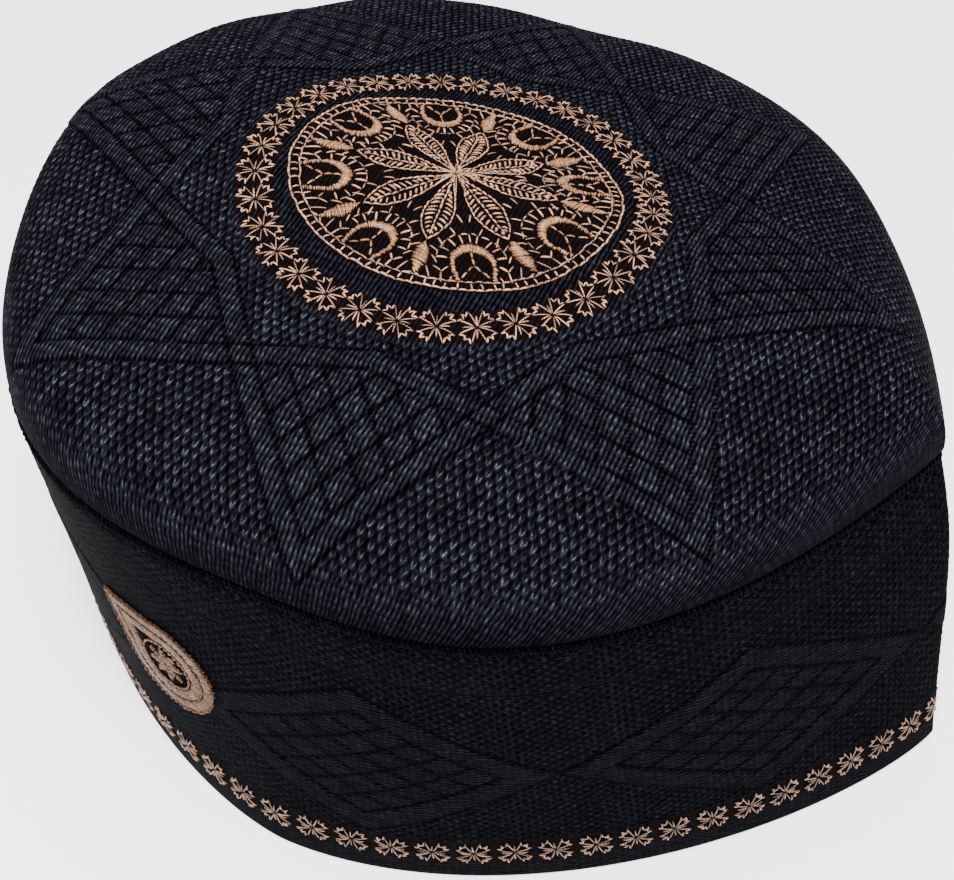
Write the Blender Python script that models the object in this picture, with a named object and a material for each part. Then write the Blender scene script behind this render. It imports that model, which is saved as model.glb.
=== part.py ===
"""Kufi: a knitted cap that folds flat, standing open on its hem.

A domed crown panel with a soft crease along its long axis is sewn to an upright side band, which
comes to a blunt fold at the front and at the back. Copper thread makes a medallion of petals, leaves
and horseshoes in the middle of the crown, a ring of small stars round it, a row of the same stars
above the hem and a drop-shaped badge on one side. The piece is open below for the head.

+X is the front fold, -Y the side with the badge, +Z up. The origin is on the floor, under the
middle of the hem.
"""
import math
from collections import namedtuple

import bmesh
import bpy
import numpy as np

MM = 0.001

# Outlines seen from above, about the crease line: reach to the front and back fold, half the width,
# and for each end the bow of the curve and the bluntness of its tip.
Outline = namedtuple("Outline", "front back half_width front_bow front_tip back_bow back_tip")
HEM_OUTLINE = Outline(117.0, 99.5, 89.0, 1.83, 1.22, 1.60, 1.63)
SEAM_OUTLINE = Outline(99.0, 92.5, 92.0, 2.80, 1.05, 3.20, 1.60)

# Height of the crown seam at the sides, what the two folds add to it, and the top of the crown.
BAND_HEIGHT = 83.0
SEAM_RISE_FRONT = -2.7
SEAM_RISE_BACK = 8.0
CROWN_TOP = 115.7
CENTRE_X = -4.0
CENTRE_Y = -5.5
CENTRE_SOFTNESS = 0.03

# Fall of the crown from its middle to the seam: a low fall makes a straight slope and a high one a
# flat top; a high edge turns it down steeply at the seam.
Fall = namedtuple("Fall", "fall edge")
FALL_SIDE = Fall(0.80, 3.65)
FALL_FRONT = Fall(1.65, 2.77)
FALL_BACK = Fall(3.70, 4.73)
CREASE_SHARPNESS = 10

# Cloth, and the groove that the seam stitching draws in.
BAND_THICKNESS = 2.0
CROWN_THICKNESS = 2.0
GROOVE_DEPTH = 1.2
GROOVE_REACH = 3.0
PIECE_GAP = 0.3
SEAM_CORD_INSET = 0.35
SEAM_CORD_RADIUS = 0.45
SEAM_CORD_SIDES = 6

# Fineness of the faceted shapes.
STATIONS = 72
BAND_ROWS = (0.0, 0.13, 0.3, 0.5, 0.7, 0.86, 0.965, 0.985, 1.0)
CROWN_ROWS = (0.06, 0.14, 0.23, 0.33, 0.44, 0.55, 0.66, 0.76, 0.84, 0.9, 0.945, 0.972, 0.987, 1.0)

# Embroidery: raised thread, this high over the cloth.
THREAD_LIFT = 0.3
THREAD_HEIGHT = 0.6

# Medallion, in distances from the middle of the crown along the cloth.
MEDALLION_FOLD = 8
MEDALLION_TURN = -37.5
MEDALLION_STRETCH = (1.065, 0.945)
BORDER_INNER = 29.2
BORDER_OUTER = 31.4
BORDER_STEPS = 64
PETAL_REACH = 18.6
PETAL_NOTCH = 5.0
PETAL_POWER = 0.55
PETAL_STEPS = 10
LEAF_START = 20.4
LEAF_END = 28.2
LEAF_WIDTH = 2.5
LEAF_POINT = 0.3
LEAF_STEPS = 6
HORSESHOE_MIDDLE = 24.0
HORSESHOE_HALF_WIDTH = 4.1
HORSESHOE_BOW = 4.6
HORSESHOE_LEGS = 4.4
HORSESHOE_THICK = 2.1
HORSESHOE_THIN = 0.7
HORSESHOE_BEND_STEPS = 8

# Ring of stars on the crown and row of stars above the hem.
STAR_RING_RADIUS = 39.0
STAR_RING_COUNT = 34
STAR_RING_TURN = 4.2
STAR_RING_STAR = 6.6
STAR_RING_WAIST = 3.0
HEM_ROW_HEIGHT = 10.7
HEM_ROW_COUNT = 69
HEM_ROW_STAR = 7.8
HEM_ROW_WAIST = 4.0
STAR_STEPS = 2

# Badge: a drop-shaped patch on the side band, placed by its way round the hem from the front fold.
BADGE_WAY = 181.0
BADGE_HEIGHT = 43.6
BADGE_RADIUS = 13.4
BADGE_TIP = 21.3
BADGE_TURN = 33.0
BADGE_STEPS = 40

Look = namedtuple("Look", "red green blue roughness")
KNIT_LOOK = Look(0.012, 0.013, 0.021, 0.85)
THREAD_LOOK = Look(0.47, 0.26, 0.15, 0.55)
STITCH_LOOK = Look(0.008, 0.008, 0.012, 0.8)

SHARP_ANGLE = math.radians(50)

# How finely the curves are measured, and how far apart the points are that give a slope.
FINE_STEPS = 1441
SLICE_STEPS = 160
SLICE_CROWDING = 5
SLOPE_STEP = 0.5


def middle_of_length():
    """Where the middle of the whole length lies along X, in the outlines' own measure."""
    return (HEM_OUTLINE.front - HEM_OUTLINE.back) / 2


def half_outline(outline, place):
    """Points (x, half width) of an outline; place runs from -1 at the back fold to 1 at the front."""
    place = np.asarray(place, dtype=float)
    ahead = place >= 0
    reach = np.where(ahead, outline.front, outline.back)
    bow = np.where(ahead, outline.front_bow, outline.back_bow)
    tip = np.where(ahead, outline.front_tip, outline.back_tip)
    width = outline.half_width * np.clip(1 - np.abs(place) ** bow, 0, None) ** (1 / tip)
    return reach * place, width


def seam_height(place):
    """Height of the crown seam at a place between the folds."""
    rise = np.where(np.asarray(place) >= 0, SEAM_RISE_FRONT, SEAM_RISE_BACK)
    return BAND_HEIGHT + rise * np.square(place)


class Way:
    """The way round the hem: from the front fold along the badge's side, round the back and home."""

    def __init__(self):
        """Measures half of the hem, which the other half mirrors."""
        self.place = np.sin(np.linspace(math.pi / 2, -math.pi / 2, FINE_STEPS))
        x, width = half_outline(HEM_OUTLINE, self.place)
        self.run = np.concatenate([[0], np.cumsum(np.hypot(np.diff(x), np.diff(width)))])
        self.half = self.run[-1]
        self.whole = 2 * self.half

    def at(self, way):
        """Place between the folds, and side (-1 near the badge), for a distance along the hem."""
        way = np.mod(way, self.whole)
        near = way <= self.half
        place = np.interp(np.where(near, way, self.whole - way), self.run, self.place)
        return place, np.where(near, -1.0, 1.0)


WAY = Way()


def groove(distance):
    """How far the cloth is drawn in, at a distance from the crown seam."""
    return GROOVE_DEPTH * np.square(np.clip(1 - distance / GROOVE_REACH, 0, 1))


def band_surface(way, height_share):
    """Outer face of the side band, without the groove at its top."""
    place, side = WAY.at(way)
    hem_x, hem_width = half_outline(HEM_OUTLINE, place)
    seam_x, seam_width = half_outline(SEAM_OUTLINE, place)
    x = hem_x + (seam_x - hem_x) * height_share
    width = hem_width + (seam_width - hem_width) * height_share
    top = seam_height(place) - PIECE_GAP / 2
    return np.stack([x, side * width, top * height_share], axis=-1)


def on_band(way, height, lift):
    """Points at a height over the floor and a lift off the band, for distances along the hem."""
    way = np.asarray(way, dtype=float)
    share = np.asarray(height, dtype=float) / BAND_HEIGHT
    rise = SLOPE_STEP / BAND_HEIGHT
    along = band_surface(way + SLOPE_STEP, share) - band_surface(way - SLOPE_STEP, share)
    upward = band_surface(way, share + rise) - band_surface(way, share - rise)
    normal = np.cross(upward, along)
    normal /= np.linalg.norm(normal, axis=-1, keepdims=True)
    return band_surface(way, share) + normal * lift


class Crown:
    """The outer face of the crown, measured along the cloth from its middle."""

    def __init__(self):
        """Tabulates the seam round the middle, by its direction."""
        place = np.sin(np.linspace(math.pi / 2, -math.pi / 2, FINE_STEPS))
        x, width = half_outline(SEAM_OUTLINE, place)
        self.place = place
        self.turn = np.arctan2(width, x - CENTRE_X)
        self.reach = np.hypot(x - CENTRE_X, width)

    def slices(self, turn):
        """Points down the crown in each direction, and the cloth's length to each."""
        turn = np.arctan2(np.sin(turn), np.cos(turn))
        size = np.abs(turn)
        reach = np.interp(size, self.turn, self.reach)[:, None]
        seam = seam_height(np.interp(size, self.turn, self.place))[:, None] + PIECE_GAP / 2
        ahead = np.clip(np.cos(turn), 0, 1)[:, None]
        behind = np.clip(-np.cos(turn), 0, 1)[:, None]
        crease_ahead, crease_behind = ahead**CREASE_SHARPNESS, behind**CREASE_SHARPNESS
        fall = FALL_SIDE.fall + (FALL_FRONT.fall - FALL_SIDE.fall) * crease_ahead
        fall = fall + (FALL_BACK.fall - FALL_SIDE.fall) * crease_behind
        edge = FALL_SIDE.edge + (FALL_FRONT.edge - FALL_SIDE.edge) * ahead**2
        edge = edge + (FALL_BACK.edge - FALL_SIDE.edge) * behind**2
        share = 1 - (1 - np.linspace(0, 1, SLICE_STEPS)) ** SLICE_CROWDING
        soft = np.hypot(share, CENTRE_SOFTNESS) - CENTRE_SOFTNESS
        soft = (soft / soft[-1])[None]
        height = seam + (CROWN_TOP - seam) * np.clip(1 - soft**fall, 0, None) ** (1 / edge)
        share = share[None]
        x = CENTRE_X + reach * share * np.cos(turn)[:, None]
        y = CENTRE_Y * (1 - share**2) + reach * share * np.sin(turn)[:, None]
        points = np.stack([x, y, height], axis=-1)
        steps = np.linalg.norm(np.diff(points, axis=1), axis=2)
        length = np.concatenate([np.zeros((len(turn), 1)), np.cumsum(steps, axis=1)], axis=1)
        return points, length

    def at(self, turn, distance):
        """Points at distances along the cloth from the middle, one direction for each."""
        points, length = self.slices(turn)
        found = [[np.interp(far, run, line[:, axis]) for axis in range(3)]
                 for far, run, line in zip(distance, length, points)]
        return np.array(found)


CROWN = Crown()


def on_crown(across, along, lift):
    """Points on the crown from flat measures (towards the front, towards +Y), lifted off it."""
    across, along = np.asarray(across, dtype=float), np.asarray(along, dtype=float)

    def surface(x, y):
        return CROWN.at(np.arctan2(y, x), np.hypot(x, y))

    sideways = surface(across + SLOPE_STEP, along) - surface(across - SLOPE_STEP, along)
    upward = surface(across, along + SLOPE_STEP) - surface(across, along - SLOPE_STEP)
    normal = np.cross(sideways, upward)
    normal /= np.linalg.norm(normal, axis=-1, keepdims=True)
    return surface(across, along) + normal * lift


def material(name, look):
    """A plain material in a piece's own colour."""
    made = bpy.data.materials.new(name)
    made.use_nodes = True
    shader = made.node_tree.nodes["Principled BSDF"]
    shader.inputs["Base Color"].default_value = (look.red, look.green, look.blue, 1)
    shader.inputs["Roughness"].default_value = look.roughness
    made.diffuse_color = (look.red, look.green, look.blue, 1)
    return made


def add_object(name, shape, look):
    """Turns a bmesh in millimetres into a named object in metres, shaded smooth."""
    bmesh.ops.recalc_face_normals(shape, faces=shape.faces)
    for vertex in shape.verts:
        vertex.co.x -= middle_of_length()
        vertex.co *= MM
    mesh = bpy.data.meshes.new(name)
    shape.to_mesh(mesh)
    shape.free()
    mesh.shade_smooth()
    mesh.set_sharp_from_angle(angle=SHARP_ANGLE)
    mesh.materials.append(material(name, look))
    made = bpy.data.objects.new(name, mesh)
    bpy.context.scene.collection.objects.link(made)
    return made


def join_rows(shape, first, second, closed=True):
    """Faces between two rows of vertices of one length."""
    count = len(first)
    for index in range(count if closed else count - 1):
        after = (index + 1) % count
        shape.faces.new((first[index], first[after], second[after], second[index]))


def add_row(shape, points):
    """One row of vertices."""
    return [shape.verts.new(point) for point in points]


def inner_loop(points, depth):
    """A level loop moved inwards by a depth, with its corners mitred."""
    before, after = np.roll(points, 1, axis=0), np.roll(points, -1, axis=0)

    def edge_normal(start, end):
        run = (end - start)[:, :2]
        run = run / np.linalg.norm(run, axis=1, keepdims=True)
        return np.stack([run[:, 1], -run[:, 0]], axis=1)

    first, second = edge_normal(before, points), edge_normal(points, after)
    middle = first + second
    middle /= np.linalg.norm(middle, axis=1, keepdims=True)
    stretch = 1 / np.sum(middle * second, axis=1, keepdims=True)
    moved = points.copy()
    moved[:, :2] += middle * depth * stretch
    return moved


def stations():
    """Distances along the hem of the rows of vertices, with one on each fold."""
    return np.linspace(0, WAY.whole, STATIONS, endpoint=False)


def side_band():
    """The upright wall, with a level hem to stand on and its top drawn in to the seam."""
    shape = bmesh.new()
    way = stations()
    outer, inner = [], []
    for share in BAND_ROWS:
        loop = band_surface(way, np.full(STATIONS, share))
        pull = groove((1 - share) * BAND_HEIGHT)
        outer.append(add_row(shape, inner_loop(loop, pull)))
        inner.append(add_row(shape, inner_loop(loop, pull + BAND_THICKNESS)))
    for low, high in zip(outer, outer[1:]):
        join_rows(shape, low, high)
    for low, high in zip(inner, inner[1:]):
        join_rows(shape, low, high)
    join_rows(shape, outer[0], inner[0])
    join_rows(shape, outer[-1], inner[-1])
    add_object("side_band", shape, KNIT_LOOK)


def crown_rows(turn):
    """Loops of points down the crown, the last few drawn in to the seam."""
    points, length = CROWN.slices(turn)
    whole = length[:, -1]
    for share in CROWN_ROWS:
        row = CROWN.at(turn, whole * share)
        pull = groove(whole * (1 - share))
        row[:, 0] -= np.cos(turn) * pull
        row[:, 1] -= np.sin(turn) * pull
        yield row


def crown():
    """The domed top panel, one layer of cloth thick, open below."""
    shape = bmesh.new()
    place, side = WAY.at(stations())
    seam_x, seam_width = half_outline(SEAM_OUTLINE, place)
    turn = np.arctan2(side * seam_width, seam_x - CENTRE_X)
    rows = [add_row(shape, points) for points in crown_rows(turn)]
    top = shape.verts.new((CENTRE_X, CENTRE_Y, CROWN_TOP))
    for index in range(STATIONS):
        shape.faces.new((top, rows[0][index], rows[0][(index + 1) % STATIONS]))
    for upper, lower in zip(rows, rows[1:]):
        join_rows(shape, upper, lower)
    panel = add_object("crown", shape, KNIT_LOOK)
    cloth = panel.modifiers.new("cloth", "SOLIDIFY")
    cloth.thickness = CROWN_THICKNESS * MM
    cloth.offset = -1
    cloth.use_even_offset = True
    cloth.use_quality_normals = True


def crown_seam():
    """The line of stitching that lies in the groove between crown and band."""
    shape = bmesh.new()
    place, side = WAY.at(stations())
    seam_x, seam_width = half_outline(SEAM_OUTLINE, place)
    line = np.stack([seam_x, side * seam_width, seam_height(place)], axis=-1)
    rows = []
    for index in range(SEAM_CORD_SIDES):
        angle = 2 * math.pi * index / SEAM_CORD_SIDES
        row = inner_loop(line, SEAM_CORD_INSET - SEAM_CORD_RADIUS * math.cos(angle))
        row[:, 2] += SEAM_CORD_RADIUS * math.sin(angle)
        rows.append(add_row(shape, row))
    for index, row in enumerate(rows):
        join_rows(shape, row, rows[(index + 1) % SEAM_CORD_SIDES])
    add_object("crown_seam", shape, STITCH_LOOK)


def plate(name, rows, put, closed, look=THREAD_LOOK):
    """A thin raised shape: rows of flat points put on the cloth, with a top, a foot and edges.

    A first row of one point is the middle of a disc.
    """
    shape = bmesh.new()

    def layer(lift):
        return [add_row(shape, put(row[:, 0], row[:, 1], lift)) for row in rows]

    foot, top = layer(THREAD_LIFT), layer(THREAD_LIFT + THREAD_HEIGHT)
    disc = len(rows[0]) == 1
    for level in (foot, top):
        if disc:
            count = len(level[1])
            for index in range(count):
                shape.faces.new((level[0][0], level[1][index], level[1][(index + 1) % count]))
        for first, second in zip(level[disc:], level[1 + disc:]):
            join_rows(shape, first, second, closed)
    edges = [-1] if disc else [0, -1]
    for edge in edges:
        join_rows(shape, foot[edge], top[edge], closed)
    if not closed:
        for end in (0, -1):
            join_rows(shape, [row[end] for row in foot], [row[end] for row in top], closed=False)
    add_object(name, shape, look)


def polar(radius, angle):
    """Flat points from radii and angles."""
    return np.stack([radius * np.cos(angle), radius * np.sin(angle)], axis=1)


def even_angles(count):
    """Angles once round."""
    return np.linspace(0, 2 * math.pi, count, endpoint=False)


def spoke(index, halfway=False):
    """Angle of a petal and its leaf, or of the horseshoe after it."""
    step = 2 * math.pi / MEDALLION_FOLD
    return math.radians(MEDALLION_TURN) + step * (index + (0.5 if halfway else 0))


def turned(points, angle, centre=(0, 0)):
    """Flat points turned about the middle and moved."""
    cosine, sine = math.cos(angle), math.sin(angle)
    x = points[:, 0] * cosine - points[:, 1] * sine + centre[0]
    y = points[:, 0] * sine + points[:, 1] * cosine + centre[1]
    return np.stack([x, y], axis=1)


def on_medallion(across, along, lift):
    """Points on the crown, drawn out to the medallion's slightly oval shape."""
    return on_crown(across * MEDALLION_STRETCH[0], along * MEDALLION_STRETCH[1], lift)


def medallion_border():
    """The narrow double line that frames the medallion."""
    angle = even_angles(BORDER_STEPS)
    rows = [polar(np.full(BORDER_STEPS, radius), angle) for radius in (BORDER_INNER, BORDER_OUTER)]
    plate("medallion_border", rows, on_medallion, closed=True)


def medallion_flower():
    """The flower of pointed petals that meet in the middle."""
    count = MEDALLION_FOLD * PETAL_STEPS
    angle = even_angles(count)
    swing = np.abs(np.cos(angle * MEDALLION_FOLD / 2)) ** (1 / PETAL_POWER)
    edge = PETAL_NOTCH + (PETAL_REACH - PETAL_NOTCH) * swing
    angle = angle + math.radians(MEDALLION_TURN)
    rows = [np.zeros((1, 2)), polar(edge / 2, angle), polar(edge, angle)]
    plate("medallion_flower", rows, on_medallion, closed=True)


def medallion_leaves():
    """A small leaf beyond the tip of each petal."""
    share = np.linspace(0, 1, LEAF_STEPS)
    along = LEAF_START + (LEAF_END - LEAF_START) * share
    half = (LEAF_POINT + (LEAF_WIDTH - LEAF_POINT) * np.sin(math.pi * share)) / 2
    for index in range(MEDALLION_FOLD):
        rows = [turned(np.stack([along, side * half], axis=1), spoke(index)) for side in (-1, 1)]
        plate(f"medallion_leaf_{index + 1}", rows, on_medallion, closed=False)


def horseshoe_edges():
    """Outer and inner edge of a horseshoe that opens outwards, round (0, 0)."""
    bend = np.linspace(math.pi / 2, 3 * math.pi / 2, HORSESHOE_BEND_STEPS + 1)
    leg = np.array([HORSESHOE_LEGS, HORSESHOE_LEGS / 2])
    zero = np.zeros(2)
    along = np.concatenate([leg, HORSESHOE_BOW * np.cos(bend), leg[::-1]])
    side = HORSESHOE_HALF_WIDTH * np.concatenate([zero + 1, np.sin(bend), zero - 1])
    inward = np.concatenate([zero, -np.cos(bend), zero])
    thickness = HORSESHOE_THIN + (HORSESHOE_THICK - HORSESHOE_THIN) * inward
    lean = np.stack([along - np.maximum(along, 0), side], axis=1)
    lean /= np.linalg.norm(lean, axis=1, keepdims=True)
    outer = np.stack([along, side], axis=1)
    return outer, outer - lean * thickness[:, None]


def medallion_horseshoes():
    """A horseshoe between each two leaves, thick towards the middle, its legs on the border."""
    for index in range(MEDALLION_FOLD):
        angle = spoke(index, halfway=True)
        centre = (HORSESHOE_MIDDLE * math.cos(angle), HORSESHOE_MIDDLE * math.sin(angle))
        rows = [turned(edge, angle, centre) for edge in horseshoe_edges()]
        plate(f"medallion_horseshoe_{index + 1}", rows, on_medallion, closed=False)


def star_ring():
    """The ring of stars round the medallion, wide at each star and narrow between."""
    count = STAR_RING_COUNT * STAR_STEPS
    angle = even_angles(count) + math.radians(STAR_RING_TURN)
    half = np.tile([STAR_RING_STAR / 2, STAR_RING_WAIST / 2], STAR_RING_COUNT)
    rows = [polar(STAR_RING_RADIUS + side * half, angle) for side in (-1, 1)]
    plate("star_ring", rows, on_crown, closed=True)


def hem_star_row():
    """The row of stars above the hem, wide at each star and narrow between."""
    count = HEM_ROW_COUNT * STAR_STEPS
    way = np.linspace(0, WAY.whole, count, endpoint=False)
    half = np.tile([HEM_ROW_STAR / 2, HEM_ROW_WAIST / 2], HEM_ROW_COUNT)
    rows = [np.stack([way, HEM_ROW_HEIGHT + side * half], axis=1) for side in (-1, 1)]
    plate("hem_star_row", rows, on_band, closed=True)


def side_badge():
    """A drop of close stitching: a round end with two straight sides that meet in a tip."""
    angle = even_angles(BADGE_STEPS)
    away = np.abs(np.arctan2(np.sin(angle), np.cos(angle)))
    flank = math.acos(BADGE_RADIUS / BADGE_TIP)
    edge = polar(BADGE_RADIUS / np.cos(np.clip(flank - away, 0, None)), angle)
    centre = (BADGE_WAY, BADGE_HEIGHT)
    inner, outer = [turned(edge * share, math.radians(BADGE_TURN), centre) for share in (0.5, 1)]
    plate("side_badge", [np.array([centre]), inner, outer], on_band, closed=True)


def main():
    """Clears the scene and makes the pieces, from the cloth to the embroidery."""
    for old in list(bpy.data.objects):
        bpy.data.objects.remove(old, do_unlink=True)
    side_band()
    crown()
    crown_seam()
    medallion_border()
    medallion_flower()
    medallion_leaves()
    medallion_horseshoes()
    star_ring()
    hem_star_row()
    side_badge()


main()
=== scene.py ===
"""Dresses the kufi: a black knitted cap with a low relief and copper thread embroidery.

The crown and the side band become knitted cloth with eight star points and a row of diamonds worked into
it. Each motif is sewn stitch by stitch, as an arched thread that dips into the cloth at both ends. Sizes are
in millimetres, in the cap's own measure: along the cloth from the middle of the crown, or along the hem from
the front fold and up from the floor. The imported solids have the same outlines, so every piece lies where its
solid lies.
"""
import logging
import math
from abc import ABC, abstractmethod
from dataclasses import dataclass
from enum import Enum

import bpy
import numpy as np
from mathutils import Matrix, Vector


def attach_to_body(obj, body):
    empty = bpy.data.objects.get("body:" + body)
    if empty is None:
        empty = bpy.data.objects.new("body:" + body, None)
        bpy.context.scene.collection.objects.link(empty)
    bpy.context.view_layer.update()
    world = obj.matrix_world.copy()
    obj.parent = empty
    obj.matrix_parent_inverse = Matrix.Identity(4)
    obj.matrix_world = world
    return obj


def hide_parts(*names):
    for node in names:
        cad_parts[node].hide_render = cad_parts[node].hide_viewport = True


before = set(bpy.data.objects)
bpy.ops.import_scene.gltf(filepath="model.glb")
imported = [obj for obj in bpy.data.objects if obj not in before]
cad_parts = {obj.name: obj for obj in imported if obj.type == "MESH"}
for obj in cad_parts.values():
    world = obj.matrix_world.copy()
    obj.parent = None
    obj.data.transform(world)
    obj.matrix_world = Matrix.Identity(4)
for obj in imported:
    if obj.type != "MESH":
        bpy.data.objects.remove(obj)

LOG = logging.getLogger("kufi")
MM = 0.001
BODY = "root"
TURN = 2 * math.pi

# Places from the front fold, 1, to the back fold, -1, closer together near the folds
PLACES = np.sin(np.linspace(math.pi / 2, -math.pi / 2, 1441))

Array = np.ndarray
Pair = tuple[float, float]
Colour = tuple[float, float, float, float]
Socket = bpy.types.NodeSocket
Piece = bpy.types.Object
Material = bpy.types.Material


class Slot(Enum):
    """The record's material slots."""

    KNIT = "knit_cloth"
    SEAM = "seam_thread"
    COPPER = "copper_thread"


class Stretch(Enum):
    """How the flat cloth is held in the finished cap."""

    SEWN = "stretched"


def smooth_step(low: float, high: float, value: Array) -> Array:
    """A soft rise from 0, where a value is at low, to 1, where it is at high."""
    share = np.clip((value - low) / (high - low), 0, 1)
    return share * share * (3 - 2 * share)


def ridge(distance: Array, half: float, shoulder: float) -> Array:
    """1 within half of a line, falling to 0 over a soft shoulder at each edge."""
    return 1 - smooth_step(half - shoulder, half, np.abs(distance))


def line_mark(distance: Array, width: float) -> Array:
    """A soft line, 1 in its middle, that has faded at its width."""
    return np.exp(-np.square(2 * distance / width))


def to_nearest(measure: Array, pitch: float) -> Array:
    """How far a measure is from the nearest whole number of pitches."""
    return np.mod(measure + pitch / 2, pitch) - pitch / 2


def knots(across: Array, along: Array, cell: Pair) -> Array:
    """Bumps of an open mesh, 1 on a knot and -1 in a hole."""
    return np.cos(TURN * across / cell[0]) * np.cos(TURN * along / cell[1])


def unit(vectors: Array) -> Array:
    """The same directions, each one long."""
    return vectors / np.maximum(np.linalg.norm(vectors, axis=-1, keepdims=True), 1e-9)


def run_on(points: Array) -> Array:
    """Which way closed lines of points run, at each point."""
    return np.roll(points, -1, axis=0) - np.roll(points, 1, axis=0)


def level_outward(points: Array) -> Array:
    """Level vectors away from the cap, for closed lines of points that run round it."""
    run = run_on(points)
    return np.stack([-run[..., 1], run[..., 0], np.zeros(run.shape[:-1])], axis=-1)


def length_along(points: Array) -> Array:
    """Length from the start of lines of points to each of their points."""
    steps = np.linalg.norm(np.diff(points, axis=-2), axis=-1)
    return np.concatenate([np.zeros(steps.shape[:-1] + (1,)), np.cumsum(steps, axis=-1)], axis=-1)


def polar(radius: Array | float, angle: Array | float) -> Array:
    """Flat points from distances and angles."""
    return np.stack(np.broadcast_arrays(radius * np.cos(angle), radius * np.sin(angle)), axis=-1)


def even_turns(count: int) -> Array:
    """Angles evenly spaced once round."""
    return np.linspace(0, TURN, count, endpoint=False)


def four_corners(*corners: Array) -> Array:
    """Faces from four tables of point numbers, one for each corner."""
    return np.stack(corners, axis=-1).reshape(-1, 4)


@dataclass(frozen=True)
class Outline:
    """An oval seen from above, with its own reach, bow and bluntness at each end."""

    front: float
    back: float
    half_width: float
    front_bow: float
    front_tip: float
    back_bow: float
    back_tip: float

    def at(self, place: Array) -> tuple[Array, Array]:
        """Points of the oval.

        Args:
            place: From -1 at the back fold to 1 at the front fold.

        Returns:
            The length measure and the half width there.
        """
        ahead = place >= 0
        reach = np.where(ahead, self.front, self.back)
        bow = np.where(ahead, self.front_bow, self.back_bow)
        tip = np.where(ahead, self.front_tip, self.back_tip)
        width = self.half_width * np.clip(1 - np.abs(place) ** bow, 0, None) ** (1 / tip)
        return reach * place, width


@dataclass(frozen=True)
class Fall:
    """How the crown falls from its middle, and how steeply it turns down at the seam."""

    fall: float
    edge: float


@dataclass(frozen=True)
class CapForm:
    """The cap's driving sizes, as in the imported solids."""

    hem: Outline = Outline(117.0, 99.5, 89.0, 1.83, 1.22, 1.60, 1.63)
    seam: Outline = Outline(99.0, 92.5, 92.0, 2.80, 1.05, 3.20, 1.60)
    band_height: float = 83.0
    seam_rise_front: float = -2.7
    seam_rise_back: float = 8.0
    crown_top: float = 115.7
    centre_x: float = -4.0
    centre_y: float = -5.5
    centre_softness: float = 0.03
    fall_side: Fall = Fall(0.80, 3.65)
    fall_front: Fall = Fall(1.65, 2.77)
    fall_back: Fall = Fall(3.70, 4.73)
    crease_sharpness: float = 10
    cloth: float = 2.0
    groove_depth: float = 1.2
    groove_reach: float = 3.0
    gap: float = 0.3

    @property
    def middle(self) -> float:
        """Where the middle of the whole length lies."""
        return (self.hem.front - self.hem.back) / 2

    def seam_height(self, place: Array) -> Array:
        """Height of the crown seam at a place between the folds."""
        rise = np.where(place >= 0, self.seam_rise_front, self.seam_rise_back)
        return self.band_height + rise * np.square(place)

    def groove(self, distance: Array) -> Array:
        """How far the cloth is drawn in, at a distance from the crown seam."""
        return self.groove_depth * np.square(np.clip(1 - distance / self.groove_reach, 0, 1))


FORM = CapForm()


class ClothSurface:
    """A table of points over two measures, the first of which runs once round the cap."""

    def __init__(self, points: Array) -> None:
        """Keeps points by rows round the cap and columns across the cloth, and finds which way they face."""
        self.points = points
        self.facing = unit(np.cross(np.gradient(points, axis=1), run_on(points)))

    def swell(self, height: Array) -> None:
        """Moves the cloth outwards by a height for each point of the table."""
        self.points = self.points + self.facing * height[..., None]

    def read(self, around: Array, across: Array) -> tuple[Array, Array]:
        """Points and facing between those of the table.

        Args:
            around: Share of the way round, taken modulo 1.
            across: Share of the way across, from 0 to 1.

        Returns:
            Points in millimetres and unit vectors away from the cloth.
        """
        rows, columns = self.points.shape[:2]
        u, v = np.mod(around, 1) * rows, np.clip(across, 0, 1) * (columns - 1)
        first, low = np.floor(u).astype(int) % rows, np.minimum(v.astype(int), columns - 2)
        after = (first + 1) % rows
        part_u, part_v = (u - np.floor(u))[..., None], (v - low)[..., None]
        mixed = []
        for table in (self.points, self.facing):
            near = table[first, low] * (1 - part_v) + table[first, low + 1] * part_v
            far = table[after, low] * (1 - part_v) + table[after, low + 1] * part_v
            mixed.append(near * (1 - part_u) + far * part_u)
        return mixed[0], unit(mixed[1])


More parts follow.
